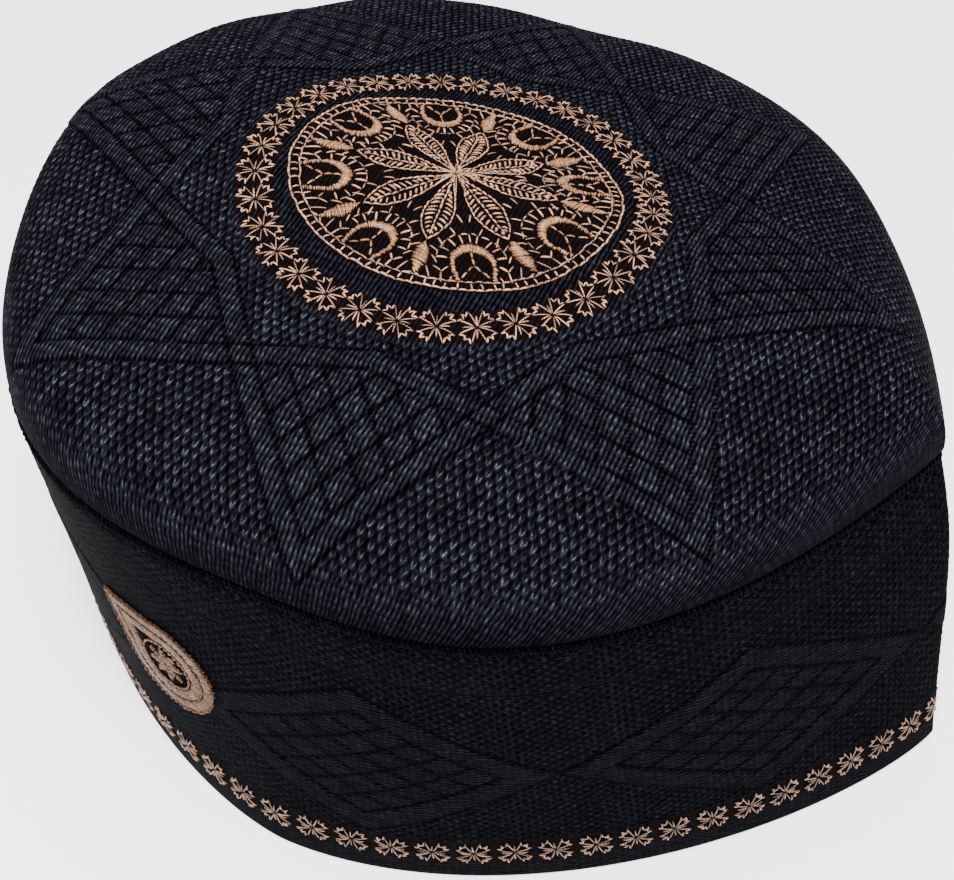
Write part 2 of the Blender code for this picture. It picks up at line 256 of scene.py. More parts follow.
class BandSurface(ClothSurface):
    """The outer face of the side band, measured along the hem and up from the floor.

    A wave has its size, its times round the cap and its start, then its rise over the height and its shift.
    """

    COLUMNS = 1184
    LEVELS = 168
    WAVES = ((0.30, 5, 0.7, 2.2, math.pi / 2), (0.22, 9, 2.1, 3.1, 0.4), (0.14, 16, 0.3, 4.7, 1.1))
    HELD_BELOW = 0.25
    HELD_ABOVE = 0.8
    BELLY = 2.2
    BELLY_REACH = 26.0

    def __init__(self, form: CapForm) -> None:
        """Tabulates the band twice a millimetre, then lets the cloth swell and sink a little.

        Args:
            form: The cap's sizes.
        """
        self.form = form
        run = length_along(np.column_stack(form.hem.at(PLACES)))
        self.whole = 2 * run[-1]
        way = np.arange(0, self.whole, self.whole / self.COLUMNS)[:self.COLUMNS]
        near = way <= run[-1]
        self.place = np.interp(np.where(near, way, self.whole - way), run, PLACES)
        self.side = np.where(near, -1.0, 1.0)
        share = np.linspace(0, 1, self.LEVELS)
        points = self.ruled(share)
        pull = form.groove((1 - share) * form.band_height)
        super().__init__(points - unit(level_outward(points)) * pull[None, :, None])
        self.swell(self.undulation(way, share))

    def ruled(self, share: Array) -> Array:
        """Straight lines from the hem's outline to the seam's.

        Args:
            share: Shares of the height.

        Returns:
            Points round the cap at each share.
        """
        hem_x, hem_width = self.form.hem.at(self.place)
        seam_x, seam_width = self.form.seam.at(self.place)
        x = hem_x[:, None] + (seam_x - hem_x)[:, None] * share
        width = hem_width[:, None] + (seam_width - hem_width)[:, None] * share
        top = self.form.seam_height(self.place) - self.form.gap / 2
        return np.stack([x, self.side[:, None] * width, top[:, None] * share], axis=2)

    def undulation(self, way: Array, share: Array) -> Array:
        """Soft swells of worn knit and a belly at the front fold, none at the hem and the seam.

        Args:
            way: Distances along the hem.
            share: Shares of the height.

        Returns:
            How far the cloth swells at each distance and share.
        """
        turn = TURN * way / self.whole
        wave = sum(size * np.sin(times * turn + start)[:, None] * np.sin(rise * share + shift)[None]
                   for size, times, start, rise, shift in self.WAVES)
        held = smooth_step(0, self.HELD_BELOW, share) * (1 - smooth_step(self.HELD_ABOVE, 1.0, share))
        from_fold = np.minimum(way, self.whole - way)
        belly = np.exp(-np.square(from_fold / self.BELLY_REACH))[:, None] * np.sin(math.pi * share**2)[None]
        return wave * held[None] + self.BELLY * belly

    def at(self, way: Array, height: Array) -> tuple[Array, Array]:
        """Points by distance along the hem, the badge's side first, and height, and which way they face."""
        return self.read(way / self.whole, height / self.form.band_height)


class CrownSurface(ClothSurface):
    """The outer face of the crown, measured along the cloth from its middle."""

    TURNS = 1440
    STEPS = 260
    FINE_STEPS = 200
    CENTRE_CROWDING = 5
    HELD_FROM = 0.82
    SWELL = 0.34
    SWELL_PITCH = (11.0, 13.0)
    SWELL_START = (0.6, -0.4)
    RIPPLE = 0.22
    RIPPLE_PITCH = (7.3, 9.1)
    RIPPLE_START = 1.9
    CALM = 0.25
    CALM_FROM = 34.0
    CALM_TO = 60.0

    def __init__(self, form: CapForm) -> None:
        """Tabulates the crown by direction and by the share of the cloth from middle to seam.

        Args:
            form: The cap's sizes.
        """
        self.form = form
        turn = even_turns(self.TURNS)
        slices = self.slices(turn)
        run = length_along(slices)
        self.reach = run[:, -1]
        share = np.linspace(0, 1, self.STEPS)
        points = np.empty((self.TURNS, self.STEPS, 3))
        for index in range(self.TURNS):
            distance = share * self.reach[index]
            for axis in range(3):
                points[index, :, axis] = np.interp(distance, run[index], slices[index, :, axis])
        ways = polar(1.0, turn)[:, None]
        points[..., :2] -= ways * form.groove(self.reach[:, None] * (1 - share))[..., None]
        super().__init__(points)
        self.facing[:, 0] = (0, 0, 1)
        flat = ways * (self.reach[:, None] * share)[..., None]
        held = 1 - smooth_step(self.HELD_FROM, 1.0, share)
        self.swell(self.undulation(flat[..., 0], flat[..., 1]) * held[None])

    def slices(self, turn: Array) -> Array:
        """Points down the crown from its middle.

        Args:
            turn: Directions from the middle.

        Returns:
            A row of points for each direction.
        """
        form = self.form
        x, width = form.seam.at(PLACES)
        size = np.abs(np.arctan2(np.sin(turn), np.cos(turn)))
        seam_turn, seam_reach = np.arctan2(width, x - form.centre_x), np.hypot(x - form.centre_x, width)
        reach = np.interp(size, seam_turn, seam_reach)[:, None]
        seam = form.seam_height(np.interp(size, seam_turn, PLACES))[:, None] + form.gap / 2
        ahead, behind = np.clip(np.cos(turn), 0, 1)[:, None], np.clip(-np.cos(turn), 0, 1)[:, None]
        crease_ahead, crease_behind = ahead**form.crease_sharpness, behind**form.crease_sharpness
        side, front, back = form.fall_side, form.fall_front, form.fall_back
        fall = side.fall + (front.fall - side.fall) * crease_ahead + (back.fall - side.fall) * crease_behind
        edge = side.edge + (front.edge - side.edge) * ahead**2 + (back.edge - side.edge) * behind**2
        share = 1 - (1 - np.linspace(0, 1, self.FINE_STEPS)) ** self.CENTRE_CROWDING
        soft = np.hypot(share, form.centre_softness) - form.centre_softness
        soft = (soft / soft[-1])[None]
        height = seam + (form.crown_top - seam) * np.clip(1 - soft**fall, 0, None) ** (1 / edge)
        line_x = form.centre_x + reach * share * np.cos(turn)[:, None]
        line_y = form.centre_y * (1 - share**2) + reach * share * np.sin(turn)[:, None]
        return np.stack([line_x, line_y, height], axis=-1)

    def undulation(self, x: Array, y: Array) -> Array:
        """Soft swells of worn knit, calmer under the medallion.

        Args:
            x: Flat measure towards the front.
            y: Flat measure towards +Y.

        Returns:
            How far the cloth swells.
        """
        to_front, to_side = (place / pitch + start
                             for place, pitch, start in zip((x, y), self.SWELL_PITCH, self.SWELL_START))
        slanting = x / self.RIPPLE_PITCH[0] + y / self.RIPPLE_PITCH[1] + self.RIPPLE_START
        wave = self.SWELL * np.sin(to_front) * np.cos(to_side) + self.RIPPLE * np.sin(slanting)
        lively = smooth_step(self.CALM_FROM, self.CALM_TO, np.hypot(x, y))
        return wave * (self.CALM + (1 - self.CALM) * lively)

    def reach_at(self, around: Array) -> Array:
        """Length of the cloth from the middle to the seam, by the share of the way round."""
        closed = np.append(self.reach, self.reach[0])
        return np.interp(np.mod(around, 1) * self.TURNS, np.arange(self.TURNS + 1), closed)

    def at(self, x: Array, y: Array) -> tuple[Array, Array]:
        """Points by distances along the cloth to the front and to +Y, and which way they face."""
        around = np.arctan2(y, x) / TURN
        return self.read(around, np.hypot(x, y) / self.reach_at(around))


@dataclass(frozen=True)
class Ramp:
    """A straight change from first to last while a measure goes from low to high."""

    low: float
    high: float
    first: float = 0.0
    last: float = 1.0


class NodeBench:
    """A short hand for building one material's nodes."""

    ROUGH_SPREAD = 0.2

    def __init__(self, name: str) -> None:
        """Starts a material with an empty node tree and an output.

        Args:
            name: The material's name.
        """
        self.material = bpy.data.materials.new(name)
        self.material.use_nodes = True
        self.tree = self.material.node_tree
        self.tree.nodes.clear()
        self.output = self.tree.nodes.new("ShaderNodeOutputMaterial")

    def put(self, socket: Socket, value: object) -> None:
        """Links an input to another socket, or sets its own value.

        Args:
            socket: The input.
            value: The other socket or the value.
        """
        if isinstance(value, Socket):
            self.tree.links.new(value, socket)
        else:
            socket.default_value = value

    def node(self, kind: str, inputs: dict | None = None, **settings: object) -> bpy.types.Node:
        """Adds a node.

        Args:
            kind: Its type name, without the leading ShaderNode.
            inputs: Values or sockets for its inputs, by name or number.
            settings: The node's own settings.

        Returns:
            The node.
        """
        made = self.tree.nodes.new("ShaderNode" + kind)
        for key, value in settings.items():
            setattr(made, key, value)
        for key, value in (inputs or {}).items():
            self.put(made.inputs[key], value)
        return made

    def sum(self, operation: str, *values: object) -> Socket:
        """The result of a sum on numbers or sockets."""
        return self.node("Math", dict(enumerate(values)), operation=operation).outputs[0]

    def times(self, value: object, factor: object, extra: object = 0.0) -> Socket:
        """A product with something extra added."""
        return self.sum("MULTIPLY_ADD", value, factor, extra)

    def off_middle(self, value: Socket) -> Socket:
        """A measure from 0 to 1, counted from its middle."""
        return self.sum("SUBTRACT", value, 0.5)

    def wave(self, turn: Socket) -> Socket:
        """A wave between 0 and 1."""
        return self.times(self.sum("SINE", turn), 0.5, 0.5)

    def ramp(self, value: Socket, ramp: Ramp) -> Socket:
        """A measure taken through a ramp."""
        inputs = {0: value, 1: ramp.low, 2: ramp.high, 3: ramp.first, 4: ramp.last}
        return self.node("MapRange", inputs).outputs[0]

    def blend(self, share: object, first: object, second: object) -> Socket:
        """A colour between two.

        Args:
            share: From 0, the first, to 1, the second.
            first: A colour or a socket.
            second: A colour or a socket.

        Returns:
            The blended colour.
        """
        made = self.node("Mix", data_type="RGBA")
        colour_inputs = [socket for socket in made.inputs if socket.type == "RGBA"]
        self.put(made.inputs[0], share)
        self.put(colour_inputs[0], first)
        self.put(colour_inputs[1], second)
        return next(socket for socket in made.outputs if socket.type == "RGBA")

    def measure(self, name: str, output: str = "Fac") -> Socket:
        """Reads a measure kept on the mesh."""
        return self.node("Attribute", attribute_name=name).outputs[output]

    def parts(self, name: str) -> list[Socket]:
        """Reads the three parts of a vector kept on the mesh."""
        return list(self.node("SeparateXYZ", {0: self.measure(name, "Vector")}).outputs)

    def noise(self, scale: float, detail: float = 2.0) -> Socket:
        """Noise in the object's own metres."""
        place = self.node("TexCoord").outputs["Object"]
        return self.node("TexNoise", {"Vector": place, "Scale": scale, "Detail": detail}).outputs[0]

    def rough(self, fibre: Socket, middle: float) -> Socket:
        """A roughness that differs a little from fibre to fibre."""
        return self.times(fibre, self.ROUGH_SPREAD, middle - self.ROUGH_SPREAD / 2)

    def bumps(self, height: Socket, strength: float, distance: float) -> Socket:
        """Facing that follows a height."""
        inputs = {"Height": height, "Strength": strength, "Distance": distance}
        return self.node("Bump", inputs).outputs[0]

    def finish(self, inputs: dict) -> Material:
        """Ends the tree in its shader.

        Args:
            inputs: Values or sockets for the shader's inputs.

        Returns:
            The material.
        """
        shader = self.node("BsdfPrincipled", inputs)
        self.tree.links.new(shader.outputs[0], self.output.inputs["Surface"])
        return self.material


@dataclass(frozen=True)
class KnitFinish:
    """Fine black knit: ribs of stitches, openwork with small holes and dotted drawn-in lines, with painted
    shade and painted glints.

    A pair named by a measure says how much the measure counts, and how much is there without it. A noise has
    its scale and its detail, the sway how far it goes across and along, and the bump its strength and height.
    """

    name: str = "black_knit"
    # The first colour is painted shade, for the gaps between stitches and the holes
    painted_hollow_shade: Colour = (0.00012, 0.00012, 0.00030, 1)
    yarn: Colour = (0.0150, 0.0150, 0.0225, 1)
    # A painted highlight colour, for glints on the stitches
    painted_glint_colour: Colour = (0.120, 0.122, 0.158, 1)
    # Painted brown shade that the embroidery casts on the cloth under it
    painted_thread_shade_colour: Colour = (0.0024, 0.0013, 0.0011, 1)
    painted_thread_shade_share: float = 0.78
    # A painted light level for the whole knit: the band's copy has less, painting it in shade
    light: float = 1.12
    upright: bool = True
    rib: float = 0.92
    course: float = 1.85
    slant: float = 0.9
    dot_across: float = 0.92
    dot_along: float = 1.85
    sway: Pair = (1.0, 1.8)
    sway_scale: Pair = (260.0, 338.0)
    patch_noise: Pair = (90.0, 4.0)
    fibre_noise: Pair = (3000.0, 3.0)
    grain_noise: Pair = (900.0, 2.0)
    grain: float = 0.6
    patchy_knots: float = 0.5
    stitch_by_course: Pair = (0.42, 0.62)
    knot_by_course: Pair = (0.75, 0.40)
    knot_by_rib: Pair = (0.4, 0.6)
    closed: Ramp = Ramp(-0.9, 0.45, 0.08, 1.0)
    pierced: Ramp = Ramp(0.40, 0.95, 1.20, 0.66)
    narrow: Ramp = Ramp(0.25, 0.90)
    deepest_hole: float = 0.97
    # How fast the painted shade deepens towards the gaps
    painted_hollow_shade_power: float = 1.7
    light_by_patch: Pair = (0.45, 0.62)
    light_by_stitch: Pair = (0.9, 0.55)
    # How the painted glints follow the fibre noise and the openwork
    painted_glint_by_fibre: Pair = (1.1, -0.05)
    painted_glint_by_openwork: Pair = (0.30, 0.30)
    painted_glint_ramp: Ramp = Ramp(0.45, 0.95)
    roughness: float = 0.62
    shine: float = 0.004
    bump: Pair = (1.0, 0.00045)

    def material(self) -> Material:
        """Builds the knit.

        Returns:
            The material, which reads knit_mm, openwork, groove and shade from the mesh.
        """
        bench = NodeBench(self.name)
        flat = bench.parts("knit_mm")
        openwork, groove, shade = (bench.measure(name) for name in Relief.MARKS)
        across, along = (bench.times(bench.off_middle(bench.noise(scale)), sway, place)
                         for scale, sway, place in zip(self.sway_scale, self.sway, flat))
        patchy, fibre = bench.noise(*self.patch_noise), bench.noise(*self.fibre_noise)

        # The stitches of the close knit, each with a number of its own
        ribwise, coursewise = (across, along) if self.upright else (along, across)
        rib_turn = bench.times(ribwise, math.pi / self.rib)
        rib = bench.sum("ABSOLUTE", bench.sum("SINE", rib_turn))
        lean = bench.sum("ABSOLUTE", bench.sum("COSINE", rib_turn))
        course_turn = bench.times(lean, self.slant * math.pi, bench.times(coursewise, TURN / self.course))
        course = bench.wave(course_turn)
        stitch = bench.times(rib, bench.times(course, *self.stitch_by_course))
        rib_number = bench.sum("FLOOR", bench.sum("DIVIDE", rib_turn, math.pi))
        course_number = bench.sum("FLOOR", bench.times(course_turn, 0.5 / math.pi, 0.25))
        number = bench.node("CombineXYZ", {0: rib_number, 1: course_number}).outputs[0]
        own = bench.node("TexWhiteNoise", {"Vector": number}, noise_dimensions="2D").outputs["Value"]

        # The knots of the openwork, and the holes along the drawn-in lines
        mesh_x = bench.sum("COSINE", bench.times(across, math.pi / self.dot_across))
        mesh_y = bench.sum("COSINE", bench.times(along, math.pi / self.dot_along))
        mesh = bench.times(bench.off_middle(patchy), self.patchy_knots, bench.times(mesh_x, mesh_y))
        knot = bench.times(bench.ramp(mesh, self.closed), bench.times(course, *self.knot_by_course))
        knot = bench.times(knot, bench.times(rib, *self.knot_by_rib))
        height = bench.node("Mix", {0: openwork, 2: stitch, 3: knot}, data_type="FLOAT").outputs[0]
        hole = bench.times(bench.ramp(groove, self.narrow), bench.ramp(rib, self.pierced))
        hole = bench.sum("MINIMUM", hole, self.deepest_hole)
        height = bench.times(height, bench.sum("SUBTRACT", 1.0, hole))
        height = bench.times(bench.off_middle(bench.noise(*self.grain_noise)), self.grain, height)

        # The yarn gets painted shade in its gaps and holes, is lighter by patches and stitches, gets painted
        # glints on its lit tops, and painted brown shade under the thread
        lit = bench.sum("POWER", bench.sum("MAXIMUM", height, 0.0), self.painted_hollow_shade_power)
        # Times the painted light level of the whole piece, with lighter and darker patches
        lit = bench.times(lit, bench.times(patchy, *(part * self.light for part in self.light_by_patch)))
        lit = bench.times(lit, bench.times(own, *self.light_by_stitch))
        colour = bench.blend(bench.sum("MINIMUM", lit, 1.0), self.painted_hollow_shade, self.yarn)
        # Painted glints: light points on the lit tops of the stitches, more in the openwork
        painted_glint = bench.ramp(bench.times(lit, bench.times(fibre, *self.painted_glint_by_fibre)), self.painted_glint_ramp)
        painted_glint = bench.times(painted_glint, bench.times(openwork, *self.painted_glint_by_openwork))
        colour = bench.blend(painted_glint, colour, self.painted_glint_colour)
        # Painted brown shade on the cloth under the embroidery
        colour = bench.blend(bench.times(shade, self.painted_thread_shade_share), colour, self.painted_thread_shade_colour)
        return bench.finish({
            "Base Color": colour,
            "Roughness": bench.rough(fibre, self.roughness),
            "Normal": bench.bumps(height, *self.bump),
            "Specular IOR Level": self.shine,
        })


@dataclass(frozen=True)
class ThreadFinish:
    """Lustrous twisted thread, each stitch a little lighter or darker than the next, with painted light on its
    top and painted shade on its underside and towards its ends.
    """

    name: str
    dark: Colour
    light: Colour
    ply: float
    roughness: float
    shine: float
    shine_tint: Colour = (1.0, 0.80, 0.64, 1)
    twist: float = 0.4
    own_tint: float = 0.7
    fibre: float = 0.6
    fibre_scale: float = 4200.0
    # How much the painted light on each thread's top counts, and how much is there without it
    painted_light_by_crest: Pair = (0.95, 0.05)
    contrast: float = 1.5
    fibre_height: float = 0.35
    bump: Pair = (0.7, 0.0001)

    def material(self) -> Material:
        """Builds the thread.

        Returns:
            The material, which reads thread_run, tint and the painted light of each thread's top from the
            mesh.
        """
        bench = NodeBench(self.name)
        run = bench.parts("thread_run")
        fibre = bench.noise(self.fibre_scale)
        twist = bench.wave(bench.times(run[0], TURN / self.ply, run[1]))
        share = bench.times(twist, self.twist, bench.times(bench.measure("tint"), self.own_tint))
        share = bench.times(bench.off_middle(fibre), self.fibre, share)
        # Painted light on the top of each thread, and painted shade on its underside and towards its ends
        share = bench.times(share, bench.times(bench.measure("painted_crest_light"), *self.painted_light_by_crest))
        share = bench.sum("POWER", bench.sum("MAXIMUM", share, 0.0), self.contrast)
        height = bench.times(fibre, self.fibre_height, twist)
        return bench.finish({
            "Base Color": bench.blend(bench.sum("MINIMUM", share, 1.0), self.dark, self.light),
            "Roughness": bench.rough(fibre, self.roughness),
            "Normal": bench.bumps(height, *self.bump),
            "Specular IOR Level": self.shine,
            "Specular Tint": self.shine_tint,
        })


@dataclass(frozen=True)
class FloorFinish:
    """A matt pale studio floor."""

    name: str = "studio_floor"
    pale: Colour = (0.90, 0.90, 0.90, 1)
    paler: Colour = (0.93, 0.93, 0.93, 1)
    cloud_scale: float = 3.0
    rough_by_cloud: Pair = (0.1, 0.8)

    def material(self) -> Material:
        """Builds the floor's finish.

        Returns:
            The material.
        """
        bench = NodeBench(self.name)
        cloud = bench.noise(self.cloud_scale)
        colour = bench.blend(cloud, self.pale, self.paler)
        return bench.finish({"Base Color": colour, "Roughness": bench.times(cloud, *self.rough_by_cloud)})


KNIT = KnitFinish()
# The band's knit runs the other way with its own stitch sizes, and has a lower painted light level, so the
# whole band is painted in shade
BAND_KNIT = KnitFinish(name="black_knit_band", light=0.46, upright=False, course=1.55, dot_across=1.45,
                       dot_along=1.05)
COPPER = ThreadFinish("copper_thread", (0.010, 0.004, 0.002, 1), (0.500, 0.255, 0.145, 1), 0.62, 0.34, 0.8)
HEM_COPPER = ThreadFinish("hem_copper_thread", (0.006, 0.003, 0.002, 1), (0.330, 0.172, 0.105, 1),
                          0.72, 0.36, 0.4)
SATIN = ThreadFinish("copper_satin", (0.030, 0.012, 0.004, 1), (0.330, 0.152, 0.064, 1), 0.9, 0.34, 0.7)
BADGE_SATIN = ThreadFinish("badge_satin", (0.016, 0.007, 0.003, 1), (0.135, 0.062, 0.026, 1), 0.9, 0.42, 0.2)
SEAM_THREAD = ThreadFinish("black_seam_thread", (0.0003, 0.0003, 0.0006, 1), (0.0060, 0.0060, 0.0095, 1),
                           0.8, 0.7, 0.01)


def place_object(name: str, data: bpy.types.ID) -> Piece:
    """Puts an object into the scene.

    Args:
        name: Its name.
        data: Its mesh, light or camera.

    Returns:
        The object.
    """
    made = bpy.data.objects.new(name, data)
    bpy.context.scene.collection.objects.link(made)
    return made


def new_piece(name: str, points: Array, faces: list, material: Material) -> Piece:
    """Turns points in the cap's own millimetres into a smooth object in the row's metres.

    Args:
        name: Name of the piece.
        points: Its points.
        faces: Arrays of point numbers, one array for each number of corners.
        material: Its finish.

    Returns:
        The object, linked to the scene.
    """
    placed = (points - np.array([FORM.middle, 0, 0])) * MM
    mesh = bpy.data.meshes.new(name)
    counts = np.concatenate([np.full(len(group), group.shape[1]) for group in faces])
    loops = np.concatenate([group.ravel() for group in faces])
    starts = np.concatenate([[0], np.cumsum(counts)[:-1]])
    mesh.vertices.add(len(placed))
    mesh.vertices.foreach_set("co", placed.astype(np.float32).ravel())
    mesh.loops.add(len(loops))
    mesh.loops.foreach_set("vertex_index", loops.astype(np.int32))
    mesh.polygons.add(len(counts))
    mesh.polygons.foreach_set("loop_start", starts.astype(np.int32))
    mesh.polygons.foreach_set("loop_total", counts.astype(np.int32))
    mesh.update(calc_edges=True)
    mesh.validate()
    mesh.shade_smooth()
    mesh.materials.append(material)
    return place_object(name, mesh)


def keep_measure(piece: Piece, name: str, values: Array, corners: bool = False) -> None:
    """Keeps a number or a vector for each point or corner of a mesh.

    Args:
        piece: The object.
        name: Name that its finish reads.
        values: One value each.
        corners: Whether there is one for each corner of each face.
    """
    vectors = values.ndim == 2
    domain = "CORNER" if corners else "POINT"
    layer = piece.data.attributes.new(name, "FLOAT_VECTOR" if vectors else "FLOAT", domain)
    layer.data.foreach_set("vector" if vectors else "value", values.astype(np.float32).ravel())


def attach(piece: Piece, slot: Slot, *nodes: str) -> Piece:
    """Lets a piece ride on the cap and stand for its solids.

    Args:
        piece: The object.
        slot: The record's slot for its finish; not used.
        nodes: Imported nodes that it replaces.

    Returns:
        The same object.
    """
    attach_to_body(piece, BODY)
    if nodes:
        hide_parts(*nodes)
    stands_for = ", ".join(nodes) or "nothing"
    LOG.info("%s: %d points, stands for %s", piece.name, len(piece.data.vertices), stands_for)
    return piece


class Relief:
    """What the knit does at each point: lift off the cloth and the marks that the finish reads."""

    MARKS = ("openwork", "groove", "shade")

    def __init__(self, lift: Array, *marks: Array) -> None:
        """Keeps the lift, and the marks in the order of their names."""
        self.lift = lift
        self.marks = dict(zip(self.MARKS, marks))

    def keep_on(self, piece: Piece) -> None:
        """Keeps the marks on a mesh whose first points are the outer face, with none on the rest.

        Args:
            piece: The object.
        """
        for name, mark in self.marks.items():
            values = mark.T.ravel()
            blank = np.zeros(len(piece.data.vertices) - len(values))
            keep_measure(piece, name, np.concatenate([values, blank]))


@dataclass(frozen=True)
class Strand:
    """The thread of a stitch: its width, how high it arches, and its tint from 0, dark, to 1, light."""

    width: float
    arch: float
    tint: float


@dataclass(frozen=True)
class Spot:
    """Where a motif lies: turned about its own middle, moved, then drawn out along both flat measures."""

    turn: float = 0.0
    centre: Pair = (0.0, 0.0)
    scale: Pair = (1.0, 1.0)

    def put(self, points: Array) -> Array:
        """Places the motif's flat points.

        Args:
            points: Points about its own middle.

        Returns:
            The same points on the flat cloth.
        """
        cosine, sine = math.cos(self.turn), math.sin(self.turn)
        x = points[..., 0] * cosine - points[..., 1] * sine + self.centre[0]
        y = points[..., 0] * sine + points[..., 1] * cosine + self.centre[1]
        return np.stack([x, y], axis=-1) * np.array(self.scale)


class Stitches:
    """Straight stitches, gathered as point pairs on a cloth and turned into one mesh of threads."""

    ROWS = np.array([0.0, 0.1, 0.3, 0.5, 0.7, 0.9, 1.0])
    SLIM = np.array([0.42, 0.8, 0.98, 1.0, 0.98, 0.8, 0.42])
    SIDES = 6
    FLATNESS = 0.72
    ARCH_BOW = 0.6
    BED = 0.22
    # How fast the painted light fades towards each stitch's ends
    PAINTED_END_SHADE = 1.5
    WANDER = 0.085
    WIDTHS = 0.12
    ARCHES = 0.15
    UNEVEN = 0.27

    def __init__(self, seed: int, cloth: BandSurface | CrownSurface) -> None:
        """Starts with none.

        Args:
            seed: Seed of the small differences between stitches.
            cloth: The surface that carries them.
        """
        self.chance = np.random.default_rng(seed)
        self.cloth = cloth
        self.groups: list[tuple[Array, ...]] = []

    def spread(self, shape: int | tuple[int, ...]) -> Array:
        """Small differences, mostly within 1 either way and never past 2."""
        return self.chance.standard_normal(shape).clip(-2, 2)

    def within(self, limit: float, shape: int | tuple[int, ...]) -> Array:
        """Even differences up to a limit either way."""
        return self.chance.uniform(-limit, limit, shape)

    def sew(self, first: Array, last: Array, facing: Array, strand: Strand) -> None:
        """Adds stitches between points in space.

        Args:
            first: Start of each.
            last: End of each.
            facing: Which way the cloth faces.
            strand: The thread.
        """
        count = len(first)
        width = strand.width * (1 + self.WIDTHS * self.spread(count))
        arch = strand.arch * (1 + self.ARCHES * self.spread(count))
        tint = np.clip(strand.tint + self.UNEVEN * self.chance.standard_normal(count), 0, 1)
        self.groups.append((first, last, facing, width, arch, tint))

    def lay(self, first: Array, last: Array, strand: Strand) -> None:
        """Adds stitches between flat points of the cloth.

        Args:
            first: Start of each.
            last: End of each.
            strand: The thread.
        """
        first = first + self.WANDER * self.spread(first.shape)
        last = last + self.WANDER * self.spread(last.shape)
        start, facing = self.cloth.at(first[:, 0], first[:, 1])
        end, end_facing = self.cloth.at(last[:, 0], last[:, 1])
        self.sew(start, end, facing + end_facing, strand)

    def on(self, spot: Spot, first: Array, last: Array, strand: Strand) -> None:
        """Adds stitches between the flat points of a motif at a spot."""
        self.lay(spot.put(first), spot.put(last), strand)

    def line(self, spot: Spot, points: Array, strand: Strand, overlap: float = 0.0,
             closed: bool = False) -> None:
        """Adds a line of stitches that follow each other.

        Args:
            spot: Where the motif lies.
            points: The motif's flat points from stitch to stitch.
            strand: The thread.
            overlap: How far each stitch runs on beside the next one, as a share of its length.
            closed: Whether the last point joins the first.
        """
        first = spot.put(points)
        last = np.roll(first, -1, axis=0)
        if not closed:
            first, last = first[:-1], last[:-1]
        self.lay(first, last + (last - first) * overlap, strand)

    def piece(self, name: str, material: Material) -> Piece:
        """Makes all the stitches into one object.

        Args:
            name: Name of the piece.
            material: The thread's finish.

        Returns:
            The object.
        """
        first, last, facing, width, arch, tint = (np.concatenate(group) for group in zip(*self.groups))
        facing = unit(facing)
        run = last - first
        length = np.linalg.norm(run, axis=1)
        side = unit(np.cross(facing, run / np.maximum(length, 1e-6)[:, None]))
        shape = (len(first), len(self.ROWS), self.SIDES)
        rise = arch[:, None] * np.sin(math.pi * self.ROWS) ** self.ARCH_BOW
        rise = rise + self.BED * width[:, None] * self.SLIM
        middle = first[:, None] + run[:, None] * self.ROWS[None, :, None] + facing[:, None] * rise[..., None]
        angle = even_turns(self.SIDES)
        radius = (width[:, None] / 2 * self.SLIM)[:, :, None, None]
        out = side[:, None, None] * np.cos(angle)[None, None, :, None]
        up = facing[:, None, None] * np.sin(angle)[None, None, :, None] * self.FLATNESS
        points = middle[:, :, None] + (out + up) * radius
        number = np.arange(math.prod(shape)).reshape(shape)
        after = np.roll(number, -1, axis=2)
        walls = four_corners(number[:, :-1], after[:, :-1], after[:, 1:], number[:, 1:])
        ends = np.concatenate([number[:, 0, ::-1], number[:, -1]])
        made = new_piece(name, points.reshape(-1, 3), [walls, ends], material)
        measure = np.empty(shape + (3,))
        measure[..., 0] = (length[:, None] * self.ROWS)[:, :, None]
        measure[..., 1] = angle
        measure[..., 2] = tint[:, None, None]
        # Painted light: 1 on the top of each thread, falling to 0 on its underside and towards its ends
        painted_crest_light = (0.5 + 0.5 * np.sin(angle)) * (self.SLIM**self.PAINTED_END_SHADE)[:, None]
        keep_measure(made, "thread_run", measure.reshape(-1, 3))
        keep_measure(made, "tint", measure[..., 2].ravel())
        keep_measure(made, "painted_crest_light", np.broadcast_to(painted_crest_light, shape).ravel())
        return made


@dataclass(frozen=True)
class MedallionPlan:
    """Where the parts of the slightly oval medallion lie, about the middle of the crown."""

    fold: int = 8
    turn: float = -37.5
    scale: Pair = (1.065, 0.945)

    def spot(self, step: float, out: float = 0.0) -> Spot:
        """The spot of a motif, by the number of petals round to it and its distance from the middle."""
        angle = math.radians(self.turn) + TURN / self.fold * step
        return Spot(angle, (out * math.cos(angle), out * math.sin(angle)), self.scale)


PLAN = MedallionPlan()


